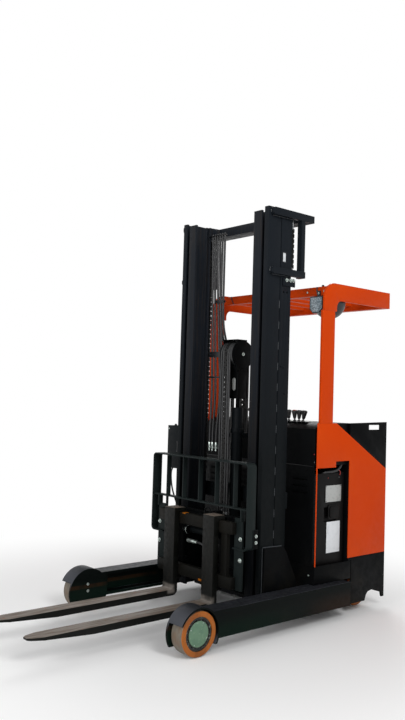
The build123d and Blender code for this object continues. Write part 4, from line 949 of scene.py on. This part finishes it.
# Knob, slot and cable at the narrow cover beside the far column
cover_trim = Form(plastic, zinc, rubber)
cover_trim.lathe([(0, 0.006), (0.006, 0.0085), (0.012, 0.0075), (0.0145, 0)],
                 at(-640, -452, high_z - 1), Z_AXIS, 16)
cover_trim.box(at(-625, -414, 990), at(-623.5, -409, 1050), 0, 0.0005)
for z in (1050, 986):
    cover_trim.box(at(-625, -419, z), at(-623.5, -404, z + 6), 0, 0.0005)
hose(cover_trim, [(-640, -470, 876), (-626, -470, 850), (-626, -470, 801), (-638, -470, 732),
                  (-663, -470, 669), (-692, -470, 605), (-708, -465, 572)], 0.0055, 2)
for z in (1140, 900):
    cover_trim.screw(at(-623, -500, z), X_AXIS, 0.005, 1)
cover_trim.make("mast_cover_trim", "reach_carriage", "black_plastic")

# Bolts of the inner plates at the load wheels
leg_trim = Form(legs, zinc)
for sign in (1, -1):
    for x, z in ((9, 165), (8, 123)):
        leg_trim.bolt(at(x, 480 * sign, z), Y_AXIS * -sign, 0.013, 1)
leg_trim.make("leg_bolts", "chassis", "black_paint")

# Ribs on the platform's mat
mat_low, mat_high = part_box("floor_mat")
ribs = Form(matting)
count = 26
margin = 0.012
for n in range(count):
    x = mat_low.x + margin + (mat_high.x - mat_low.x - 2 * margin) * n / (count - 1)
    ribs.box((x - 0.0025, mat_low.y + margin, mat_high.z - 0.0005),
             (x + 0.0025, mat_high.y - margin, mat_high.z + 0.002), 0, 0.0007)
ribs.make("floor_mat_ribs", "chassis", "rubber_mat")

# Camera, lights and the floor
camera_place = Vector((3.136, 3.656, 1.374))
camera_heading = math.radians(40.83)
camera_pitch = math.radians(2.66)
camera_roll = math.radians(-1.73)
focal_pixels = 763.98
frame_height_pixels = 720
forward = Vector((-math.sin(camera_heading) * math.cos(camera_pitch),
                  -math.cos(camera_heading) * math.cos(camera_pitch), math.sin(camera_pitch)))
level_right = forward.cross(Z_AXIS).normalized()
level_up = level_right.cross(forward)
right = level_right * math.cos(camera_roll) - level_up * math.sin(camera_roll)
up = level_right * math.sin(camera_roll) + level_up * math.cos(camera_roll)
camera_data = bpy.data.cameras.new("camera")
camera_data.sensor_fit = "VERTICAL"
camera_data.sensor_height = 24
camera_data.lens = focal_pixels / frame_height_pixels * camera_data.sensor_height
camera_data.clip_end = 60
camera = bpy.data.objects.new("camera", camera_data)
scene.collection.objects.link(camera)
turn = Matrix((right, up, -forward)).transposed().to_4x4()
camera.matrix_world = Matrix.Translation(camera_place) @ turn
scene.camera = camera


def area_light(name, place, aim, size, power):
    data = bpy.data.lights.new(name, "AREA")
    data.shape = "DISK"
    data.size = size
    data.energy = power
    lamp_object = bpy.data.objects.new(name, data)
    lamp_object.location = place
    lamp_object.rotation_mode = "QUATERNION"
    lamp_object.rotation_quaternion = (Vector(aim) - Vector(place)).to_track_quat("-Z", "Y")
    scene.collection.objects.link(lamp_object)


middle = (cad_low + cad_high) / 2
area_light("key", (1.2, 5.2, 4.6), middle, 2.6, 165)
area_light("front", (5.2, 0.6, 2.6), middle, 2.4, 80)
area_light("back", (-4.5, -3.5, 4.2), middle, 3.0, 120)
area_light("fill", (4.5, 4.5, 0.9), middle, 3.0, 36)


def white_rays(tree):
    """1 for camera, glossy and transmission rays, so that reflections show the white background too."""
    path = tree.nodes.new("ShaderNodeLightPath")
    seen = path.outputs["Is Camera Ray"]
    for kind in ("Is Glossy Ray", "Is Transmission Ray"):
        either = tree.nodes.new("ShaderNodeMath")
        either.operation = "MAXIMUM"
        tree.links.new(seen, either.inputs[0])
        tree.links.new(path.outputs[kind], either.inputs[1])
        seen = either.outputs[0]
    return seen


world = bpy.data.worlds.new("studio")
scene.world = world
world.use_nodes = True
tree = world.node_tree
background = tree.nodes["Background"]
strength = tree.nodes.new("ShaderNodeMapRange")
strength.inputs["To Min"].default_value = 0.42
strength.inputs["To Max"].default_value = 1.0
tree.links.new(white_rays(tree), strength.inputs["Value"])
tree.links.new(strength.outputs["Result"], background.inputs["Strength"])
background.inputs["Color"].default_value = (1, 1, 1, 1)

floor_data = bpy.data.meshes.new("floor")
half = 30
corners = [(-half, -half, 0), (half, -half, 0), (half, half, 0), (-half, half, 0)]
floor_data.from_pydata(corners, [], [(0, 1, 2, 3)])
ground = Look("studio_floor", (255, 255, 255), 0.75).shine(0.1)
ground.shader.inputs["Base Color"].default_value = (0.97, 0.97, 0.97, 1)
away = ground.node("ShaderNodeVectorMath", operation="LENGTH")
ground.join(ground.place, away.inputs[0])
glow = ground.node("ShaderNodeEmission")
mixed = ground.node("ShaderNodeMixShader")
white_part = ground.times(ground.ramp(away.outputs["Value"], 1.1, 3.0), white_rays(ground.tree))
ground.join(white_part, mixed.inputs[0])
ground.join(ground.shader.outputs[0], mixed.inputs[1])
ground.join(glow.outputs[0], mixed.inputs[2])
ground.join(mixed.outputs[0], ground.tree.nodes["Material Output"].inputs["Surface"])
floor_data.materials.append(ground.material)
floor = bpy.data.objects.new("floor", floor_data)
floor.location.z = -0.0015
scene.collection.objects.link(floor)

scene.view_settings.view_transform = "Standard"
